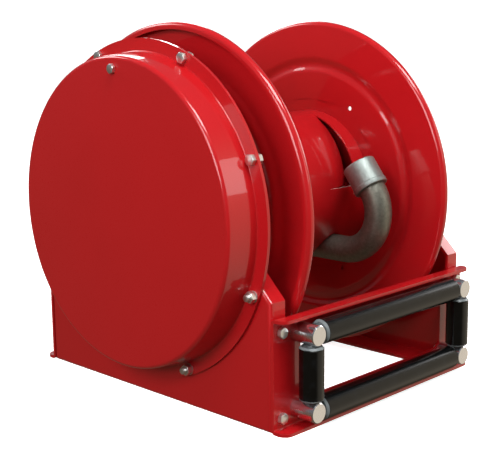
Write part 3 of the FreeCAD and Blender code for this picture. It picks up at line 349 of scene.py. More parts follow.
def edged_copy(node, material, edge=SHEET_EDGE, crease_degrees=CREASE):
    """Stands for a CAD node: its own triangles, merged and with flat faces joined, and its edges
    rounded."""
    source = frame["nodes"][node].data
    points = np.empty(3 * len(source.vertices), np.float32)
    corners = np.empty(len(source.loops), np.int32)
    source.vertices.foreach_get("co", points)
    source.loops.foreach_get("vertex_index", corners)
    mesh = bpy.data.meshes.new(node + "_finished")
    mesh.from_pydata(points.reshape(-1, 3).tolist(), [], corners.reshape(-1, 3).tolist())
    shape = bmesh.new()
    shape.from_mesh(mesh)
    bmesh.ops.remove_doubles(shape, verts=shape.verts, dist=MERGE)
    bmesh.ops.dissolve_limit(shape, angle_limit=FLAT_ANGLE, verts=shape.verts, edges=shape.edges)
    shape.to_mesh(mesh)
    shape.free()
    piece = place(node + "_finished", mesh, crease_degrees)
    round_edges(piece, edge, crease_degrees)
    finish_piece(piece, material, node)


def stand_for(piece, node):
    """Lets a piece stand for a CAD node, on that node's body."""
    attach(piece, frame["nodes"][node]["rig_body"])
    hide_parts(node)


def finish_piece(piece, material, node):
    """Gives a piece its material and lets it stand for a CAD node."""
    piece.data.materials.append(material)
    stand_for(piece, node)


def stand_in(node, surfaces, material, merge=MERGE, crease_degrees=CREASE):
    """A piece made of grids of points that stands for a CAD node."""
    name = node + "_finished"
    piece = place(name, mesh_of(name, surfaces, merge=merge), crease_degrees)
    finish_piece(piece, material, node)


enamel = red_enamel()
for plate in ("left_side_plate", "right_side_plate", "front_guide_plate", "rear_cross_plate"):
    edged_copy(plate, enamel)

# ======================================================================== frame screws and nuts
# 3/8 in hexagon screws and nuts, cold headed, thread rolled and bright zinc plated.
# The heads keep a round top chamfer, a washer face below and a small turn of their own.

THREAD_PITCH = 0.0015875
SCREW_RADIUS = 0.0047625
SCREW_FLATS = 0.0143
SCREW_HEAD = 0.0062
WASHER_HEIGHT = 0.0016
WASHER_RADIUS = 0.0081
SCREW_TIP = 0.0004
NUT = {"flats": SCREW_FLATS, "radius": SCREW_RADIUS}
SCREW = {"head": SCREW_HEAD, **NUT}
NUT_SINK = 0.0006
BROKEN_EDGE = 0.0002
WASHER_FACE = 0.0004
WASHER_FACE_SHARE = 0.95
ROUND_TOP_SHARE = 0.97
CORNER_CUT = 1.15
GROOVE_SHARE = 0.6
RINGS_A_PITCH = 8


def mottled(name, surface, tint=None, rough=None, relief=None):
    """One shader whose colour, roughness and relief each follow a noise in the object's space.

    Each is (millimetres from blotch to blotch, octaves, low end, high end). The ends are colours
    for tint and roughnesses for rough; for relief they are the bumps' strength and their height
    in metres. surface holds the values that are the same all over.
    """
    material, tree = empty_material(name)
    spot = add_node(tree, "ShaderNodeTexCoord").outputs["Object"]
    noise, links = {}, {}
    for part, size in (("tint", tint), ("rough", rough), ("relief", relief)):
        if size:
            noise[part] = add_node(tree, "ShaderNodeTexNoise",
                                   {"Scale": cells(size[0]), "Detail": size[1]},
                                   {"Vector": spot}).outputs["Fac"]
    if tint:
        mix = add_node(tree, "ShaderNodeMix", {"A": linear(tint[2]), "B": linear(tint[3])},
                       {"Factor": noise["tint"]}, data_type="RGBA")
        links["Base Color"] = mix.outputs["Result"]
    if rough:
        span = add_node(tree, "ShaderNodeMapRange", {"To Min": rough[2], "To Max": rough[3]},
                        {"Value": noise["rough"]})
        links["Roughness"] = span.outputs["Result"]
    if relief:
        bump = add_node(tree, "ShaderNodeBump", {"Strength": relief[2], "Distance": relief[3]},
                        {"Height": noise["relief"]})
        links["Normal"] = bump.outputs["Normal"]
    shader = add_node(tree, "ShaderNodeBsdfPrincipled", surface, links)
    add_node(tree, "ShaderNodeOutputMaterial", (), {"Surface": shader.outputs["BSDF"]})
    return material


def zinc_plate():
    """Bright zinc on steel: pale metal, faintly blue and straw in patches 6 mm across, with
    tumbling marks drawn coarser than real, 0.67 mm, so that they show."""
    return mottled("bright_zinc_plate", {"Metallic": 1.0}, tint=(6.25, 3, "#DDE0E6", "#E4DFD2"),
                   rough=(0.67, 4, 0.30, 0.46), relief=(0.67, 4, 0.12, 0.00005))



def solids_of(node):
    """The lowest and highest corner of each separate solid of a CAD node."""
    shape = bmesh.new()
    shape.from_mesh(frame["nodes"][node].data)
    bmesh.ops.remove_doubles(shape, verts=shape.verts, dist=MERGE)
    boxes, seen = [], set()
    for vert in shape.verts:
        if vert in seen:
            continue
        group, front = {vert}, [vert]
        while front:
            found = {e.other_vert(v) for v in front for e in v.link_edges} - group
            group |= found
            front = list(found)
        seen |= group
        corners = np.array([v.co for v in group])
        boxes.append((corners.min(0), corners.max(0)))
    shape.free()
    return boxes


def hexed(rows, origin, axis, turn, thread=(0.0, 0.0), segments=48):
    """A hexagon with round limits: at each height the radius is the smaller of the limit and
    half the flats over the cosine of the angle from the nearest flat's middle. Between the two
    thread heights a triangle wave that climbs with the angle is taken off the radius."""
    rows = np.asarray(rows, float)
    angle = np.linspace(0, 2 * np.pi, segments, endpoint=False)
    from_flat = (angle + np.pi / 6) % (np.pi / 3) - np.pi / 6
    radius = np.minimum(rows[:, 1, None] / 2 / np.cos(from_flat), rows[:, 2, None])
    height = rows[:, 0, None]
    climb = (height / THREAD_PITCH + angle / (2 * np.pi)) % 1.0
    groove = GROOVE_SHARE * THREAD_PITCH * np.abs(2 * climb - 1)
    radius = radius - np.where((height > thread[0]) & (height < thread[1]), groove, 0.0)
    side, up = square_to(axis)
    rim = np.cos(angle + turn)[:, None] * side + np.sin(angle + turn)[:, None] * up
    along = height[..., None] * np.asarray(axis, float)
    return np.asarray(origin, float) + along + radius[..., None] * rim


def hex_band(bottom, top, flats, chamfer_both):
    """Heights, flats and limits of a hexagon whose corners are turned off at the top, or at both
    ends: the limit falls in a straight line from the corners to a circle inside the flats."""
    corner = flats / math.sqrt(3)
    cut = (corner - flats / 2) / math.sqrt(3) * CORNER_CUT
    share = np.linspace(0, 1, 6)
    top_circle = flats / 2 * ROUND_TOP_SHARE
    limit = top_circle + (corner - top_circle) * share
    falling = np.stack([top - cut * share, np.full(6, flats), limit], 1)
    rising = falling[::-1] * [-1, 1, 1] + [bottom + top, 0, 0]
    face = flats / 2 * WASHER_FACE_SHARE
    washer_face = np.array([(bottom + WASHER_FACE, flats, corner),
                            (bottom + WASHER_FACE, flats, face), (bottom, flats, face)])
    return np.concatenate([falling, rising if chamfer_both else washer_face])


def washer_rows(height):
    """A flat washer's rim from its top down to nought, with both edges just broken."""
    inner = WASHER_RADIUS - BROKEN_EDGE
    return [(height, 1, inner), (height - BROKEN_EDGE, 1, WASHER_RADIUS),
            (BROKEN_EDGE, 1, WASHER_RADIUS), (0.0, 1, inner)]


def reach(low, high, way):
    """A direction as an array, where a box begins and ends along it, and its middle at nought."""
    way = np.asarray(way, float)
    middle = (low + high) / 2
    return way, *sorted((low @ way, high @ way)), middle - way * (middle @ way)


def screw_grid(low, high, way, head, flats, radius, washer=0.0, bare_end=0.0, turn=0.0):
    """A hexagon screw in its solid's box: its head towards way, and thread on the last bare_end of
    its shank."""
    way, bottom, top, middle = reach(low, high, way)
    seat = top - head - washer
    tip = bottom - seat
    rows = [(washer + head, flats, 0.0), *hex_band(washer, washer + head, flats, False)]
    rows += washer_rows(washer) if washer > 0 else []
    rows += [(0.0, 1, radius)]
    if bare_end > 0:
        rings = int(bare_end / THREAD_PITCH * RINGS_A_PITCH)
        rows += [(z, 1, radius) for z in np.linspace(tip + bare_end, tip + 2 * SCREW_TIP, rings)]
    rows += [(tip + SCREW_TIP, 1, radius), (tip, 1, radius - 2 * SCREW_TIP), (tip, 1, 0.0)]
    threaded = (tip + 0.0009, tip + bare_end)
    return hexed(rows, middle + way * seat, way, turn, threaded), False, True, None


def nut_grid(low, high, way, flats, radius, washer=0.0, turn=0.0):
    """A hexagon nut in its solid's box, on a washer if it has one, with a countersunk bore."""
    way, bottom, top, middle = reach(low, high, way)
    height = top - bottom
    rows = [(height - NUT_SINK, 1, radius), (height, 1, radius + NUT_SINK),
            *hex_band(washer, height, flats, washer == 0)]
    rows += washer_rows(washer) if washer > 0 else []
    rows += [(0.0, 1, radius + NUT_SINK / 2), (NUT_SINK / 2, 1, radius)]
    return hexed(rows, middle + way * bottom, way, turn), True, True, None



def outward(low, high, axis):
    """The unit vector along an axis that points away from the object's middle."""
    way = np.zeros(3)
    way[axis] = np.sign((low + high)[axis])
    return way


zinc = zinc_plate()
turns = np.random.default_rng(5)


def fasteners(node, kind, way_of, slot="zinc_plated_steel", **sizes):
    """A group of like screws or nuts, each turned by its own chance angle."""
    grids = [kind(low, high, way_of(low, high), turn=turns.uniform(0, math.pi / 3), **sizes)
             for low, high in solids_of(node)]
    stand_in(node, grids, zinc)


fasteners("plate_screws", screw_grid, lambda low, high: outward(low, high, 1),
          bare_end=0.004, **SCREW)
fasteners("plate_nuts", nut_grid, lambda low, high: -outward(low, high, 1), **NUT)

# ======================================================================== roller guide
# Four turned and plated steel posts carry four steel axles; on each axle turns a black nylon
# tube with a grey nylon bush pressed into each end. The posts are screwed on from behind.

POST_CHAMFER = 0.0012
BUSH_LIP = 0.0030
BUSH_PLAY = 0.00005
TUBE_WALL = 0.0035
TUBE_EDGE = 0.0004


def polished_steel():
    """Turned steel under bright plate: smooth, with handling haze and lathe lines drawn coarser
    than real, 0.38 mm, so that they show."""
    return mottled("polished_plated_steel", {"Base Color": linear("#E2E2E6"), "Metallic": 1.0},
                   rough=(14.3, 4, 0.16, 0.32), relief=(0.38, 2, 0.06, 0.00003))


def black_nylon():
    """Extruded black nylon: a soft sheen, a faint grain and a little pale dust in blotches."""
    material, tree = empty_material("black_nylon_tube")
    spot = add_node(tree, "ShaderNodeTexCoord").outputs["Object"]
    dust = add_node(tree, "ShaderNodeTexNoise", {"Scale": cells(18.2), "Detail": 6.0},
                    {"Vector": spot})
    share = add_node(tree, "ShaderNodeMapRange",
                     {"From Min": 0.5, "From Max": 0.8, "To Min": 0.0, "To Max": 1.0},
                     {"Value": dust.outputs["Fac"]})
    tint = add_node(tree, "ShaderNodeMix", {"A": linear("#070808"), "B": linear("#14171A")},
                    {"Factor": share.outputs["Result"]}, data_type="RGBA")
    grain = add_node(tree, "ShaderNodeTexNoise", {"Scale": cells(1.43), "Detail": 3.0},
                     {"Vector": spot})
    rough = add_node(tree, "ShaderNodeMapRange", {"To Min": 0.14, "To Max": 0.28},
                     {"Value": grain.outputs["Fac"]})
    bump = add_node(tree, "ShaderNodeBump", {"Strength": 0.06, "Distance": 0.0001},
                    {"Height": grain.outputs["Fac"]})
    plastic = add_node(tree, "ShaderNodeBsdfPrincipled", {"IOR": 1.53, "Specular IOR Level": 0.34},
                       {"Base Color": tint.outputs["Result"],
                        "Roughness": rough.outputs["Result"], "Normal": bump.outputs["Normal"]})
    add_node(tree, "ShaderNodeOutputMaterial", (), {"Surface": plastic.outputs["BSDF"]})
    return material


def grey_nylon():
    """Moulded grey nylon: even, slightly waxy, with a mould texture 1.1 mm across."""
    return mottled("grey_nylon_moulding", {"IOR": 1.53, "Roughness": 0.38},
                   tint=(1.1, 3, "#6C7476", "#7B8284"), relief=(1.1, 3, 0.08, 0.0001))


def turned_group(node, material, profile_of, axis_of, segments=96):
    """Stands for a CAD node of round solids: each box gives the length and the radius of a
    profile, which is spun about the box's axis."""
    grids = []
    for low, high in solids_of(node):
        axis, bottom, top, middle = reach(low, high, axis_of(low, high))
        across = (high - low)[np.abs(axis) < 0.5]
        profile = profile_of(top - bottom, across[0] / 2)
        grids.append((turned(profile, middle + axis * bottom, axis, segments), True, True, None))
    stand_in(node, grids, material)


def post_profile(length, radius):
    """A post from its foot to its tip: a chamfer, and the shallow dish that facing leaves."""
    return [(0.0, 0.0), (0.0, radius), (length - POST_CHAMFER, radius),
            (length, radius - POST_CHAMFER), (length, radius - 2 * POST_CHAMFER),
            (length - BROKEN_EDGE, 0.0)]


def rod_profile(length, radius):
    """A plain bar with broken edges."""
    edge = min(TUBE_EDGE, radius / 6)
    return [(0.0, 0.0), (0.0, radius - edge), (edge, radius), (length - edge, radius),
            (length, radius - edge), (length, 0.0)]


def tube_profile(length, radius):
    """A tube with lightly broken edges."""
    edge = TUBE_EDGE
    inner = radius - TUBE_WALL
    return [(0.0, inner + edge), (0.0, radius - edge), (edge, radius), (length - edge, radius),
            (length, radius - edge), (length, inner + edge), (length - edge, inner), (edge, inner)]


def bush_profile(length, radius):
    """A flanged bush: a cone lip outside the tube, a plug inside it and a dished outer face."""
    plug = radius - TUBE_WALL
    bore = axle_radius + BUSH_PLAY
    half_lip = BUSH_LIP / 2
    return [(0.0, bore + 0.0005), (half_lip, bore + 0.0015), (half_lip, plug - 0.0020),
            (0.0, plug - 0.0005), (0.0, radius - BUSH_LIP), (half_lip, radius - half_lip),
            (BUSH_LIP - 0.0004, radius - 0.0002), (BUSH_LIP, radius - 0.0006), (BUSH_LIP, plug),
            (length, plug), (length, bore)]


def towards(middle, along):
    """For a box, the way along an axis from the box to a middle point."""
    along = np.asarray(along, float)
    return lambda low, high: along * np.sign((middle - (low + high) / 2) @ along)


polished = polished_steel()
nylon_black = black_nylon()
nylon_grey = grey_nylon()
axle_low, axle_high = solids_of("level_roller_axles")[0]
axle_radius = (axle_high - axle_low)[2] / 2
turned_group("roller_posts", polished, post_profile,
             lambda low, high: (0, -1, 0))
turned_group("level_roller_axles", polished, rod_profile,
             lambda low, high: (1, 0, 0), 48)
turned_group("upright_roller_axles", polished, rod_profile,
             lambda low, high: (0, 0, 1), 48)
fasteners("roller_post_screws", screw_grid, lambda low, high: (0, 1, 0),
          washer=WASHER_HEIGHT, **SCREW)
for side_name in ("top", "bottom", "left", "right"):
    roller = side_name + "_roller"
    along = (1, 0, 0) if side_name in ("top", "bottom") else (0, 0, 1)
    turned_group(roller, nylon_black, tube_profile, lambda low, high: along)
    roller_low, roller_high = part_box(roller)
    roller_middle = np.array((roller_low + roller_high) / 2)
    turned_group(roller + "_bushes", nylon_grey, bush_profile,
                 towards(roller_middle, along))

# ======================================================================== spring case
# A flat back disc and a dished cover, spun from 2.5 mm steel and enamelled red, bolted together
# at the flange: screws with nuts above the shoulders, bolts through the side plate below.

CASE_SHEET = 0.0025
CASE_FACE_R = 0.2233
CASE_BAND_R = 0.2280
CASE_EDGE_R = 0.0050
COVER_BEND_R = 0.0030
SMALL = {"head": 0.0054, "flats": 0.0127, "radius": 0.00397}
SMALL_NUT = {"flats": SMALL["flats"], "radius": SMALL["radius"]}


def rounded_line(corners, steps=10):
    """A line through corners (along, radius, bend): straight runs with a tangent arc at each bend.

    Each arc is centre + bend * (cos, sin) between its two tangent points. Also gives unit tangents.
    """
    corners = np.asarray(corners, float)
    points, tangents = [], []
    for i in range(len(corners)):
        here, bend = corners[i, :2], corners[i, 2]
        into = here - corners[i - 1, :2] if i else corners[1, :2] - here
        out = corners[i + 1, :2] - here if i < len(corners) - 1 else into
        into, out = into / np.linalg.norm(into), out / np.linalg.norm(out)
        turn = math.atan2(into[0] * out[1] - into[1] * out[0], into @ out)
        share = np.linspace(0, 1, steps if bend > 0 and abs(turn) > 1e-6 else 1)[:, None]
        start = here - into * bend * math.tan(abs(turn) / 2)
        left = np.array([-into[1], into[0]]) * np.sign(turn)
        angle = share * turn
        tangent = into * np.cos(angle) + np.array([-into[1], into[0]]) * np.sin(angle)
        normal = np.array([-1, 1]) * tangent[:, ::-1] * np.sign(turn)
        points.append(start + left * bend - normal * bend if bend > 0 else here[None] + 0 * share)
        tangents.append(tangent)
    return np.concatenate(points), np.concatenate(tangents)


def sheet_outline(corners, thickness, steps=10):
    """The closed outline of bent sheet: its middle line moved half the thickness to each side."""
    middle, tangent = rounded_line(corners, steps)
    normal = np.stack([-tangent[:, 1], tangent[:, 0]], 1)
    shift = normal * thickness / 2
    return np.concatenate([middle + shift, (middle - shift)[::-1]])


cover_low, cover_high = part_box("spring_case_cover")
half_sheet = CASE_SHEET / 2
face_x = cover_low.x + half_sheet
flange_x = cover_high.x - half_sheet
cover_path = [(face_x, 0.0, 0.0), (face_x, CASE_FACE_R - half_sheet, CASE_EDGE_R),
              (flange_x, CASE_BAND_R - half_sheet, COVER_BEND_R),
              (flange_x, cover_high.z - axle.z, 0.0)]
cover_outline = sheet_outline(cover_path, CASE_SHEET, 12)
cover_grid = turned(cover_outline, (0, 0, axle.z), (1, 0, 0), 288)
stand_in("spring_case_cover", [(cover_grid, True, True, None)], enamel)
edged_copy("spring_case_back", enamel, edge=0.0003)
fasteners("case_screws", screw_grid, lambda low, high: (-1, 0, 0), bare_end=0.003, **SCREW)
fasteners("case_screw_nuts", nut_grid, lambda low, high: (1, 0, 0), **NUT)
fasteners("case_frame_bolts", screw_grid, lambda low, high: (1, 0, 0), bare_end=0.006, **SCREW)
fasteners("case_frame_nuts", nut_grid, lambda low, high: (-1, 0, 0),
          washer=WASHER_HEIGHT, **NUT)
fasteners("spring_anchor_screw", screw_grid, lambda low, high: (-1, 0, 0), **SMALL)


def spring_steel():
    """Hardened strip and wire, oil quenched: dark blue-grey oxide with a dull shine."""
    return mottled("blued_spring_steel", {"Metallic": 1.0}, tint=(8.3, 5, "#4A4F5C", "#6B6660"),
                   rough=(8.3, 5, 0.30, 0.50))


def cast_iron():
    """Grey iron castings, machined where they fit: dark, with a 1 mm sand grain."""
    return mottled("grey_cast_iron", {"Metallic": 0.9}, tint=(1, 4, "#55575A", "#77787A"),
                   rough=(1, 4, 0.42, 0.62), relief=(1, 4, 0.25, 0.0002))



blued = spring_steel()
iron = cast_iron()
edged_copy("power_spring", blued, edge=0.0002, crease_degrees=50)
edged_copy("spring_anchor_stud", zinc, edge=0.0003)
edged_copy("spring_arbor", iron, edge=0.0004)

# ======================================================================== reel discs
# Two discs pressed from 2.5 mm steel: a flat web with drain holes, a raised stiffening rib and
# a rim curled outwards in a half round. Enamelled red all over.

DISC_SHEET = 0.0025
RIM_CURL_R = 0.2580
RIB_R = 0.1990
RIB_HALF_WIDTH = 0.0115
RIB_DEPTH = 0.0050
RIB_BEND_R = 0.014
BORE_PLAY = 0.0004
DRAIN_CIRCLE = 0.1540
DRAIN_RADIUS = 0.0036
DRAINS = 6
DRAIN_START = math.radians(57.2)
DRAIN_BAND = 0.012
DISC_SEGMENTS = 360


def drained_ring(x, radii, first_angle):
    """A flat ring at x, cut in sectors with one round hole each.

    In a sector, rings of points go from the hole's edge to the sector's border in straight lines:
    hole + (border - hole) * share, and share's steps grow outwards as the power 1.5.
    """
    step = 2 * np.pi / DRAINS
    per_sector = DISC_SEGMENTS // DRAINS
    arc = np.linspace(-step / 2, step / 2, per_sector + 1)
    low_r, high_r = radii
    ladder = np.linspace(low_r, high_r, 6)[1:-1]
    border_angle = np.concatenate([arc, np.full(4, step / 2), arc[::-1], np.full(4, -step / 2)])
    border_r = np.concatenate([np.full(len(arc), low_r), ladder,
                               np.full(len(arc), high_r), ladder[::-1]])
    border = np.stack([-border_r * np.cos(border_angle), border_r * np.sin(border_angle)], 1)
    centre = np.array([-DRAIN_CIRCLE, 0.0])
    from_centre = border - centre
    outwards = from_centre / np.linalg.norm(from_centre, axis=1)[:, None]
    hole = centre + DRAIN_RADIUS * outwards
    share = np.linspace(0, 1, 5)[:, None, None] ** 1.5
    flat = hole + (border - hole) * share
    sectors = []
    for a in first_angle + step * np.arange(DRAINS):
        y = flat[..., 0] * math.cos(a) + flat[..., 1] * math.sin(a)
        z = -flat[..., 0] * math.sin(a) + flat[..., 1] * math.cos(a)
        sectors.append(np.stack([np.full_like(y, x), y, axle.z + z], -1))
    return sectors


def reel_disc(node, face_x, side, bore):
    """The disc's bent sheet spun about the axle, with its flat ring of drain holes."""
    middle = DISC_SHEET / 2
    low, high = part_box(node)
    radius = high.z - axle.z
    width = high.x - low.x
    curl = width / 2 - middle
    inner_r, outer_r = DRAIN_CIRCLE - DRAIN_BAND, DRAIN_CIRCLE + DRAIN_BAND
    path = [(middle, outer_r, 0), (middle, RIB_R - RIB_HALF_WIDTH, RIB_BEND_R),
            (middle + RIB_DEPTH, RIB_R, RIB_BEND_R), (middle, RIB_R + RIB_HALF_WIDTH, RIB_BEND_R),
            (middle, radius - middle, curl), (width - middle, radius - middle, curl),
            (width - middle, RIM_CURL_R, 0)]
    outline = sheet_outline(path, DISC_SHEET, 14)
    web = np.array([(0.0, inner_r), (0.0, bore), (DISC_SHEET, bore), (DISC_SHEET, inner_r)])
    around = np.linspace(0, 2 * np.pi, DISC_SEGMENTS, endpoint=False)
    spin = DRAIN_START - np.pi / DRAINS + around
    rim = np.stack([np.zeros_like(spin), -np.cos(spin), np.sin(spin)], 1)
    surfaces = []
    for profile in (outline, web):
        along = face_x + side * profile[:, 0]
        centres = np.stack([along, np.zeros_like(along), np.full_like(along, axle.z)], 1)
        grid = centres[:, None, :] + profile[:, 1][:, None, None] * rim
        surfaces.append((grid, False, True, None))
    inside = drained_ring(face_x, (inner_r, outer_r), DRAIN_START)
    outside = drained_ring(face_x + side * DISC_SHEET, (inner_r, outer_r), DRAIN_START)
    for near, far in zip(inside, outside):
        surfaces += [(near, False, True, None), (far, False, True, None)]
        surfaces.append((np.stack([near[0], far[0]]), False, True, None))
    stand_in(node, surfaces, enamel, MEET, ENAMEL_CREASE)



left_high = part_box("left_reel_disc")[1]
right_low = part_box("right_reel_disc")[0]
shaft_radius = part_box("drive_shaft")[1].z - axle.z
outlet_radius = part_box("outlet_shaft")[1].z - axle.z
reel_disc("left_reel_disc", left_high.x, -1, shaft_radius + BORE_PLAY)
reel_disc("right_reel_disc", right_low.x, 1, outlet_radius + BORE_PLAY)

# ======================================================================== drum shell
# A cylinder rolled from 3 mm steel. A tab is lanced in it and pressed inwards, deepest at its
# free end, so that the hose starts flush with the drum; a round hole lets the pipe out.

DRUM_SHEET = 0.0030
TAB_X0 = 0.046
TAB_X1 = 0.113
TAB_LOW = math.radians(5.4)
TAB_HIGH = math.radians(74.8)
TAB_DEPTH = 0.0268
LIP_REACH = 0.001
HOLE_X = 0.080
HOLE_RADIUS = 0.0226
HOLE_LOW = math.radians(-66)
HOLE_HIGH = math.radians(-26)

drum_low, drum_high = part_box("drum_shell")


def painted_highlight_edge():
    """The sheared edge of the sheet drawn as bare pale steel, finely torn, with thin lacquer over
    it. It is used on the tab's upward-facing lower lip only, where its pale colour is a painted
    highlight.
    """
    return mottled("pale_lip_painted_highlight", {"Metallic": 0.25, "Roughness": 0.42},
                   tint=(1.25, 3, "#CFCDCB", "#EBEAE8"))



drum_radius = drum_high.z - axle.z
goose_low, goose_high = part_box("gooseneck_pipe")
pipe_radius = (goose_high.x - goose_low.x) / 2
hole_z = goose_low.z + pipe_radius


def on_drum(angle, x, depth=0.0):
    """A point at an angle up from the front and a place along the axle, sunk by a depth."""
    radius, angle, x = np.broadcast_arrays(drum_radius - depth, angle, x)
    return np.stack([x, -radius * np.cos(angle), axle.z + radius * np.sin(angle)], -1)


def drum_surfaces():
    """The outer surface as a grid over angle and length; two blocks of cells are left out, for
    the tab and for the pipe's hole. The tab sinks as the 0.75 power of the angle from its hinge
    end times the 1.7 power of the distance from its hinge side."""
    tab_angles = np.linspace(TAB_LOW, TAB_HIGH, 36)
    hole_angles = np.linspace(HOLE_LOW, HOLE_HIGH, 21)
    between = np.linspace(HOLE_HIGH, TAB_LOW, 17)[1:-1]
    rest = np.linspace(TAB_HIGH, HOLE_LOW + 2 * np.pi, 112)[1:-1]
    angles = np.concatenate([hole_angles, between, tab_angles, rest])
    block_x = np.linspace(TAB_X0, TAB_X1, 25)
    xs = np.concatenate([np.linspace(drum_low.x, TAB_X0, 8)[:-1], block_x, [drum_high.x]])
    grid = on_drum(angles[:, None], xs[None, :])
    rows, columns = grid.shape[:2]
    r, c = np.meshgrid(np.arange(rows), np.arange(columns - 1), indexing="ij")
    in_x = (c >= 7) & (c < 7 + len(block_x) - 1)
    first_tab = len(hole_angles) + len(between)
    in_tab = in_x & (r >= first_tab) & (r < first_tab + len(tab_angles) - 1)
    in_hole = in_x & (r < len(hole_angles) - 1)
    kept = ~(in_tab | in_hole).reshape(-1)
    share = ((TAB_HIGH - tab_angles) / (TAB_HIGH - TAB_LOW)) ** 0.75
    across = (block_x - TAB_X0) / (TAB_X1 - TAB_X0)
    depth = TAB_DEPTH * share[:, None] * across[None, :] ** 1.7
    tab = on_drum(tab_angles[:, None], block_x[None, :], depth)
    side = len(block_x) - 2
    border_angle = np.concatenate([hole_angles, np.full(side, HOLE_HIGH),
                                   hole_angles[::-1], np.full(side, HOLE_LOW)])
    border_x = np.concatenate([np.full(len(hole_angles), TAB_X0), block_x[1:-1],
                               np.full(len(hole_angles), TAB_X1), block_x[1:-1][::-1]])
    border_z = axle.z + drum_radius * np.sin(border_angle)
    heading = np.arctan2(border_z - hole_z, border_x - HOLE_X)
    edge_x = HOLE_X + HOLE_RADIUS * np.cos(heading)
    edge_angle = np.arcsin((hole_z + HOLE_RADIUS * np.sin(heading) - axle.z) / drum_radius)
    steps = np.linspace(0, 1, 7)[:, None] ** 1.3
    patch = on_drum(edge_angle + (border_angle - edge_angle) * steps,
                    edge_x + (border_x - edge_x) * steps)
    return [(grid, True, False, kept), (tab, False, False, None), (patch, False, True, None)]


def drum_shell():
    """The drum's surface turned outwards and given its thickness inwards. Only the tab's lower lip,
    which faces up, is pale as bare steel, a painted highlight; all the other edges are red."""
    mesh = mesh_of("drum_shell_finished", drum_surfaces(), face_out=False, merge=MEET)
    shape = bmesh.new()
    shape.from_mesh(mesh)
    bmesh.ops.recalc_face_normals(shape, faces=shape.faces)
    shape.faces.ensure_lookup_table()
    centre = shape.faces[0].calc_center_median()
    if shape.faces[0].normal.dot(Vector((0, centre.y, centre.z - axle.z))) < 0:
        bmesh.ops.reverse_faces(shape, faces=shape.faces)
    shape.to_mesh(mesh)
    shape.free()
    shell = place("drum_shell_finished", mesh, ENAMEL_CREASE)
    wall = shell.modifiers.new("sheet_thickness", "SOLIDIFY")
    wall.thickness = DRUM_SHEET
    wall.offset = -1
    wall.use_even_offset = True
    wall.material_offset_rim = 1
    shell.data.materials.append(enamel)
    shell.data.materials.append(painted_highlight_edge())
    evaluated = shell.evaluated_get(bpy.context.evaluated_depsgraph_get())
    thick = bpy.data.meshes.new_from_object(evaluated)
    shell.modifiers.clear()
    shell.data = thick
    lip_z = axle.z + drum_radius * math.sin(TAB_LOW)
    centres = np.empty(3 * len(thick.polygons), np.float32)
    slots = np.empty(len(thick.polygons), np.int32)
    thick.polygons.foreach_get("center", centres)
    thick.polygons.foreach_get("material_index", slots)
    x, y, z = centres.reshape(-1, 3).T
    # Painted highlight: only the faces of the tab's upward-facing lower lip keep the pale edge
    # colour.
    highlight_lip_faces = (x > TAB_X0 - LIP_REACH) & (x < TAB_X1 + LIP_REACH) & (y < 0.006 - drum_radius)
    highlight_lip_faces &= np.abs(z - lip_z) < 0.0015
    thick.polygons.foreach_set("material_index", slots * highlight_lip_faces)
    round_edges(shell, SHEET_EDGE, 50)
    stand_for(shell, "drum_shell")



drum_shell()

# ======================================================================== water pipe
# A short riser inside the drum, then a gooseneck bent from galvanised 1-1/4 in pipe, and a
# malleable iron socket on its end, cast with a bead round its foot and threaded inside.

GOOSE_BEND_R = 0.063
GOOSE_TURN = math.radians(127.3)
PIPE_WALL = 0.0036
SOCKET_LENGTH = 0.044
SOCKET_BEAD = 0.0007
SOCKET_BEAD_LENGTH = 0.007
SOCKET_THREAD = 0.0022
THREAD_HEIGHT = 0.0011
SOCKET_BORE = 0.0194


def galvanised_iron(name="galvanised_iron", light="#9C9C90", dark="#4A4A40"):
    """Hot-dip zinc on iron: dull grey with a slight green, handling marks 5 mm across and a soft
    grain drawn coarser than real, 1.55 mm, so that it shows."""
    material, tree = empty_material(name)
    spot = add_node(tree, "ShaderNodeTexCoord").outputs["Object"]
    cloud = add_node(tree, "ShaderNodeTexNoise",
                     {"Scale": cells(5.25), "Detail": 6.0, "Roughness": 0.7}, {"Vector": spot})
    tint = add_node(tree, "ShaderNodeMix", {"A": linear(dark), "B": linear(light)},
                    {"Factor": cloud.outputs["Fac"]}, data_type="RGBA")
    grain = add_node(tree, "ShaderNodeTexNoise", {"Scale": cells(1.55), "Detail": 4.0},
                     {"Vector": spot})
    rough = add_node(tree, "ShaderNodeMapRange", {"To Min": 0.36, "To Max": 0.54},
                     {"Value": grain.outputs["Fac"]})
    bump = add_node(tree, "ShaderNodeBump", {"Strength": 0.45, "Distance": 0.0006},
                    {"Height": grain.outputs["Fac"]})
    metal = add_node(tree, "ShaderNodeBsdfPrincipled", {"Metallic": 0.7},
                     {"Base Color": tint.outputs["Result"], "Roughness": rough.outputs["Result"],
                      "Normal": bump.outputs["Normal"]})
    add_node(tree, "ShaderNodeOutputMaterial", (), {"Surface": metal.outputs["BSDF"]})
    return material


def swept(path, radius, reference, segments=64):
    """A circle carried along a path: path + radius * (cos a * n + sin a * b), where n is square to
    the tangent and a fixed reference and b to both. radius may be one value for each path point."""
    tangent = np.gradient(path, axis=0)
    tangent = tangent / np.linalg.norm(tangent, axis=1)[:, None]
    n = np.cross(np.asarray(reference, float), tangent)
    n = n / np.linalg.norm(n, axis=1)[:, None]
    b = np.cross(tangent, n)
    angle = np.linspace(0, 2 * np.pi, segments, endpoint=False)
    ring = (np.cos(angle)[None, :, None] * n[:, None, :]
            + np.sin(angle)[None, :, None] * b[:, None, :])
    radius = np.broadcast_to(np.asarray(radius, float), len(path))
    return path[:, None, :] + radius[:, None, None] * ring


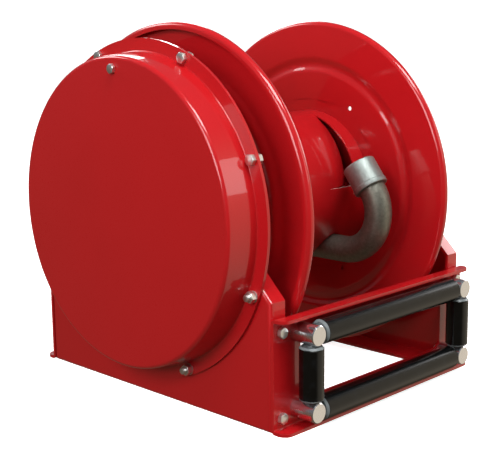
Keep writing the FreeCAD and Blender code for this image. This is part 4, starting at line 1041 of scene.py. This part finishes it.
def gooseneck_path():
    """The pipe's middle line: level and forwards from the riser, then an arc up and back,
    centre + R * (-sin t, -cos t) in y and z, as t goes from 0 to the whole turn."""
    start_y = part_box("riser_pipe")[0].y
    centre_y = goose_low.y + pipe_radius + GOOSE_BEND_R
    t = np.linspace(0, GOOSE_TURN, 72)
    level_y = np.linspace(start_y, centre_y, 6)[:-1]
    y = np.concatenate([level_y, centre_y - GOOSE_BEND_R * np.sin(t)])
    z = np.concatenate([0 * level_y, GOOSE_BEND_R * (1 - np.cos(t))]) + hole_z
    return np.stack([np.full_like(y, HOLE_X), y, z], 1)


galvanised = galvanised_iron()
edged_copy("riser_pipe", galvanised, edge=0.0003)
goose_path = gooseneck_path()
pipe_outside = swept(goose_path, pipe_radius, (1, 0, 0))
pipe_inside = swept(goose_path, pipe_radius - PIPE_WALL, (1, 0, 0))
pipe_grid = np.concatenate([pipe_outside, pipe_inside[::-1]])
stand_in("gooseneck_pipe", [(pipe_grid, True, True, None)], galvanised)

goose_end = goose_path[-1]
goose_way = np.array([0.0, -math.cos(GOOSE_TURN), math.sin(GOOSE_TURN)])
socket_low, socket_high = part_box("hose_coupling")
socket_radius = (socket_high.x - socket_low.x) / 2


def socket_profile():
    """The socket's outside, from the edge of its foot to the edge of its mouth."""
    body = socket_radius - SOCKET_BEAD
    bead = SOCKET_BEAD_LENGTH
    outside, _ = rounded_line([
        (0.0, SOCKET_BORE + 0.001, 0), (0.0, socket_radius, 0.0018), (bead, socket_radius, 0.0012),
        (bead + 0.0014, body, 0.0010), (SOCKET_LENGTH, body, 0.0022),
        (SOCKET_LENGTH, SOCKET_BORE + 0.0020, 0)], 6)
    return outside


def socket_thread(segments=96):
    """The threaded bore from the mouth back to the foot: the radius is the bore plus a triangle
    wave of along / pitch + angle / turn, so that the crest climbs one pitch in each turn."""
    along = np.linspace(SOCKET_LENGTH - 0.0012, 0.0006, 150)
    angle = np.linspace(0, 2 * np.pi, segments, endpoint=False)
    wave = np.abs(2 * ((along[:, None] / SOCKET_THREAD + angle / (2 * np.pi)) % 1.0) - 1)
    side, up = square_to(goose_way)
    rim = np.cos(angle)[:, None] * side + np.sin(angle)[:, None] * up
    radius = SOCKET_BORE + THREAD_HEIGHT * wave
    return goose_end + along[:, None, None] * goose_way + radius[..., None] * rim


socket_outside = turned(socket_profile(), goose_end, goose_way, 96)
socket_grid = np.concatenate([socket_outside, socket_thread()])
malleable = galvanised_iron("malleable_iron_socket", "#A9B3AF", "#7C8480")
stand_in("hose_coupling", [(socket_grid, True, True, None)], malleable)

# ======================================================================== shafts, hubs and bearings
# Bright steel shafts, cast flanged hubs screwed to the discs, cast bearing housings screwed
# inside the side plates, bronze bushes pressed into them and zinc-plated clamping collars.


def bearing_bronze(name="bearing_bronze", light="#C49A55", dark="#8F6A35"):
    """Turned bronze or brass: warm yellow metal, darker in patches where it was handled, with
    tool marks drawn coarser than real, 0.83 mm, so that they show."""
    return mottled(name, {"Metallic": 1.0}, tint=(16.7, 4, dark, light),
                   rough=(16.7, 4, 0.24, 0.42), relief=(0.83, 2, 0.10, 0.0001))



bronze = bearing_bronze()
for side_name in ("left", "right"):
    edged_copy(side_name + "_hub", iron, edge=0.0006)
    edged_copy(side_name + "_bearing_housing", iron, edge=0.0006)
    edged_copy(side_name + "_bearing_bush", bronze, edge=0.0003)
    edged_copy(side_name + "_shaft_collar", zinc, edge=0.0004)
edged_copy("drive_shaft", polished, edge=0.0004)
edged_copy("outlet_shaft", polished, edge=0.0004)
fasteners("bearing_housing_screws", screw_grid, lambda low, high: outward(low, high, 0), **SCREW)
fasteners("hub_screws", screw_grid, lambda low, high: outward(low, high, 0),
          bare_end=0.002, **SMALL)
fasteners("hub_nuts", nut_grid, lambda low, high: -outward(low, high, 0), **SMALL_NUT)

# ======================================================================== ratchet and latch
# A cast ratchet wheel on the right hub; a steel pawl swings on a shouldered stud from the side
# plate, held by a clip, with a wire torsion spring coiled round the stud.

LATCH_STUD_R = 0.005

edged_copy("ratchet_wheel", iron, edge=0.0004)
edged_copy("latch_pawl", iron, edge=0.0004)
edged_copy("latch_stud", zinc, edge=0.0003)
edged_copy("latch_clip", blued, edge=0.0001)
edged_copy("latch_spring", blued, edge=0.0001)
fasteners("latch_nut", nut_grid, lambda low, high: (1, 0, 0),
          flats=SCREW_FLATS, radius=LATCH_STUD_R)

# ======================================================================== inlet swivel
# A cast and turned brass body that stays still while the hollow shaft turns in it, closed by a
# hexagon plug, sealed by two rubber rings and kept on by a ring in the shaft's groove.


def nitrile_rubber():
    """Moulded black rubber: matt, with a bloom in patches 3.3 mm across."""
    return mottled("nitrile_rubber", {"Roughness": 0.62, "IOR": 1.52},
                   tint=(3.3, 3, "#151515", "#242424"))



brass = bearing_bronze("cast_brass", "#CDB071", "#A5864A")
edged_copy("swivel_housing", brass, edge=0.0006)
edged_copy("swivel_cap", brass, edge=0.0005)
edged_copy("swivel_washer", bronze, edge=0.0002)
edged_copy("swivel_clip", blued, edge=0.0001)
edged_copy("swivel_seals", nitrile_rubber(), edge=0.0001, crease_degrees=60)
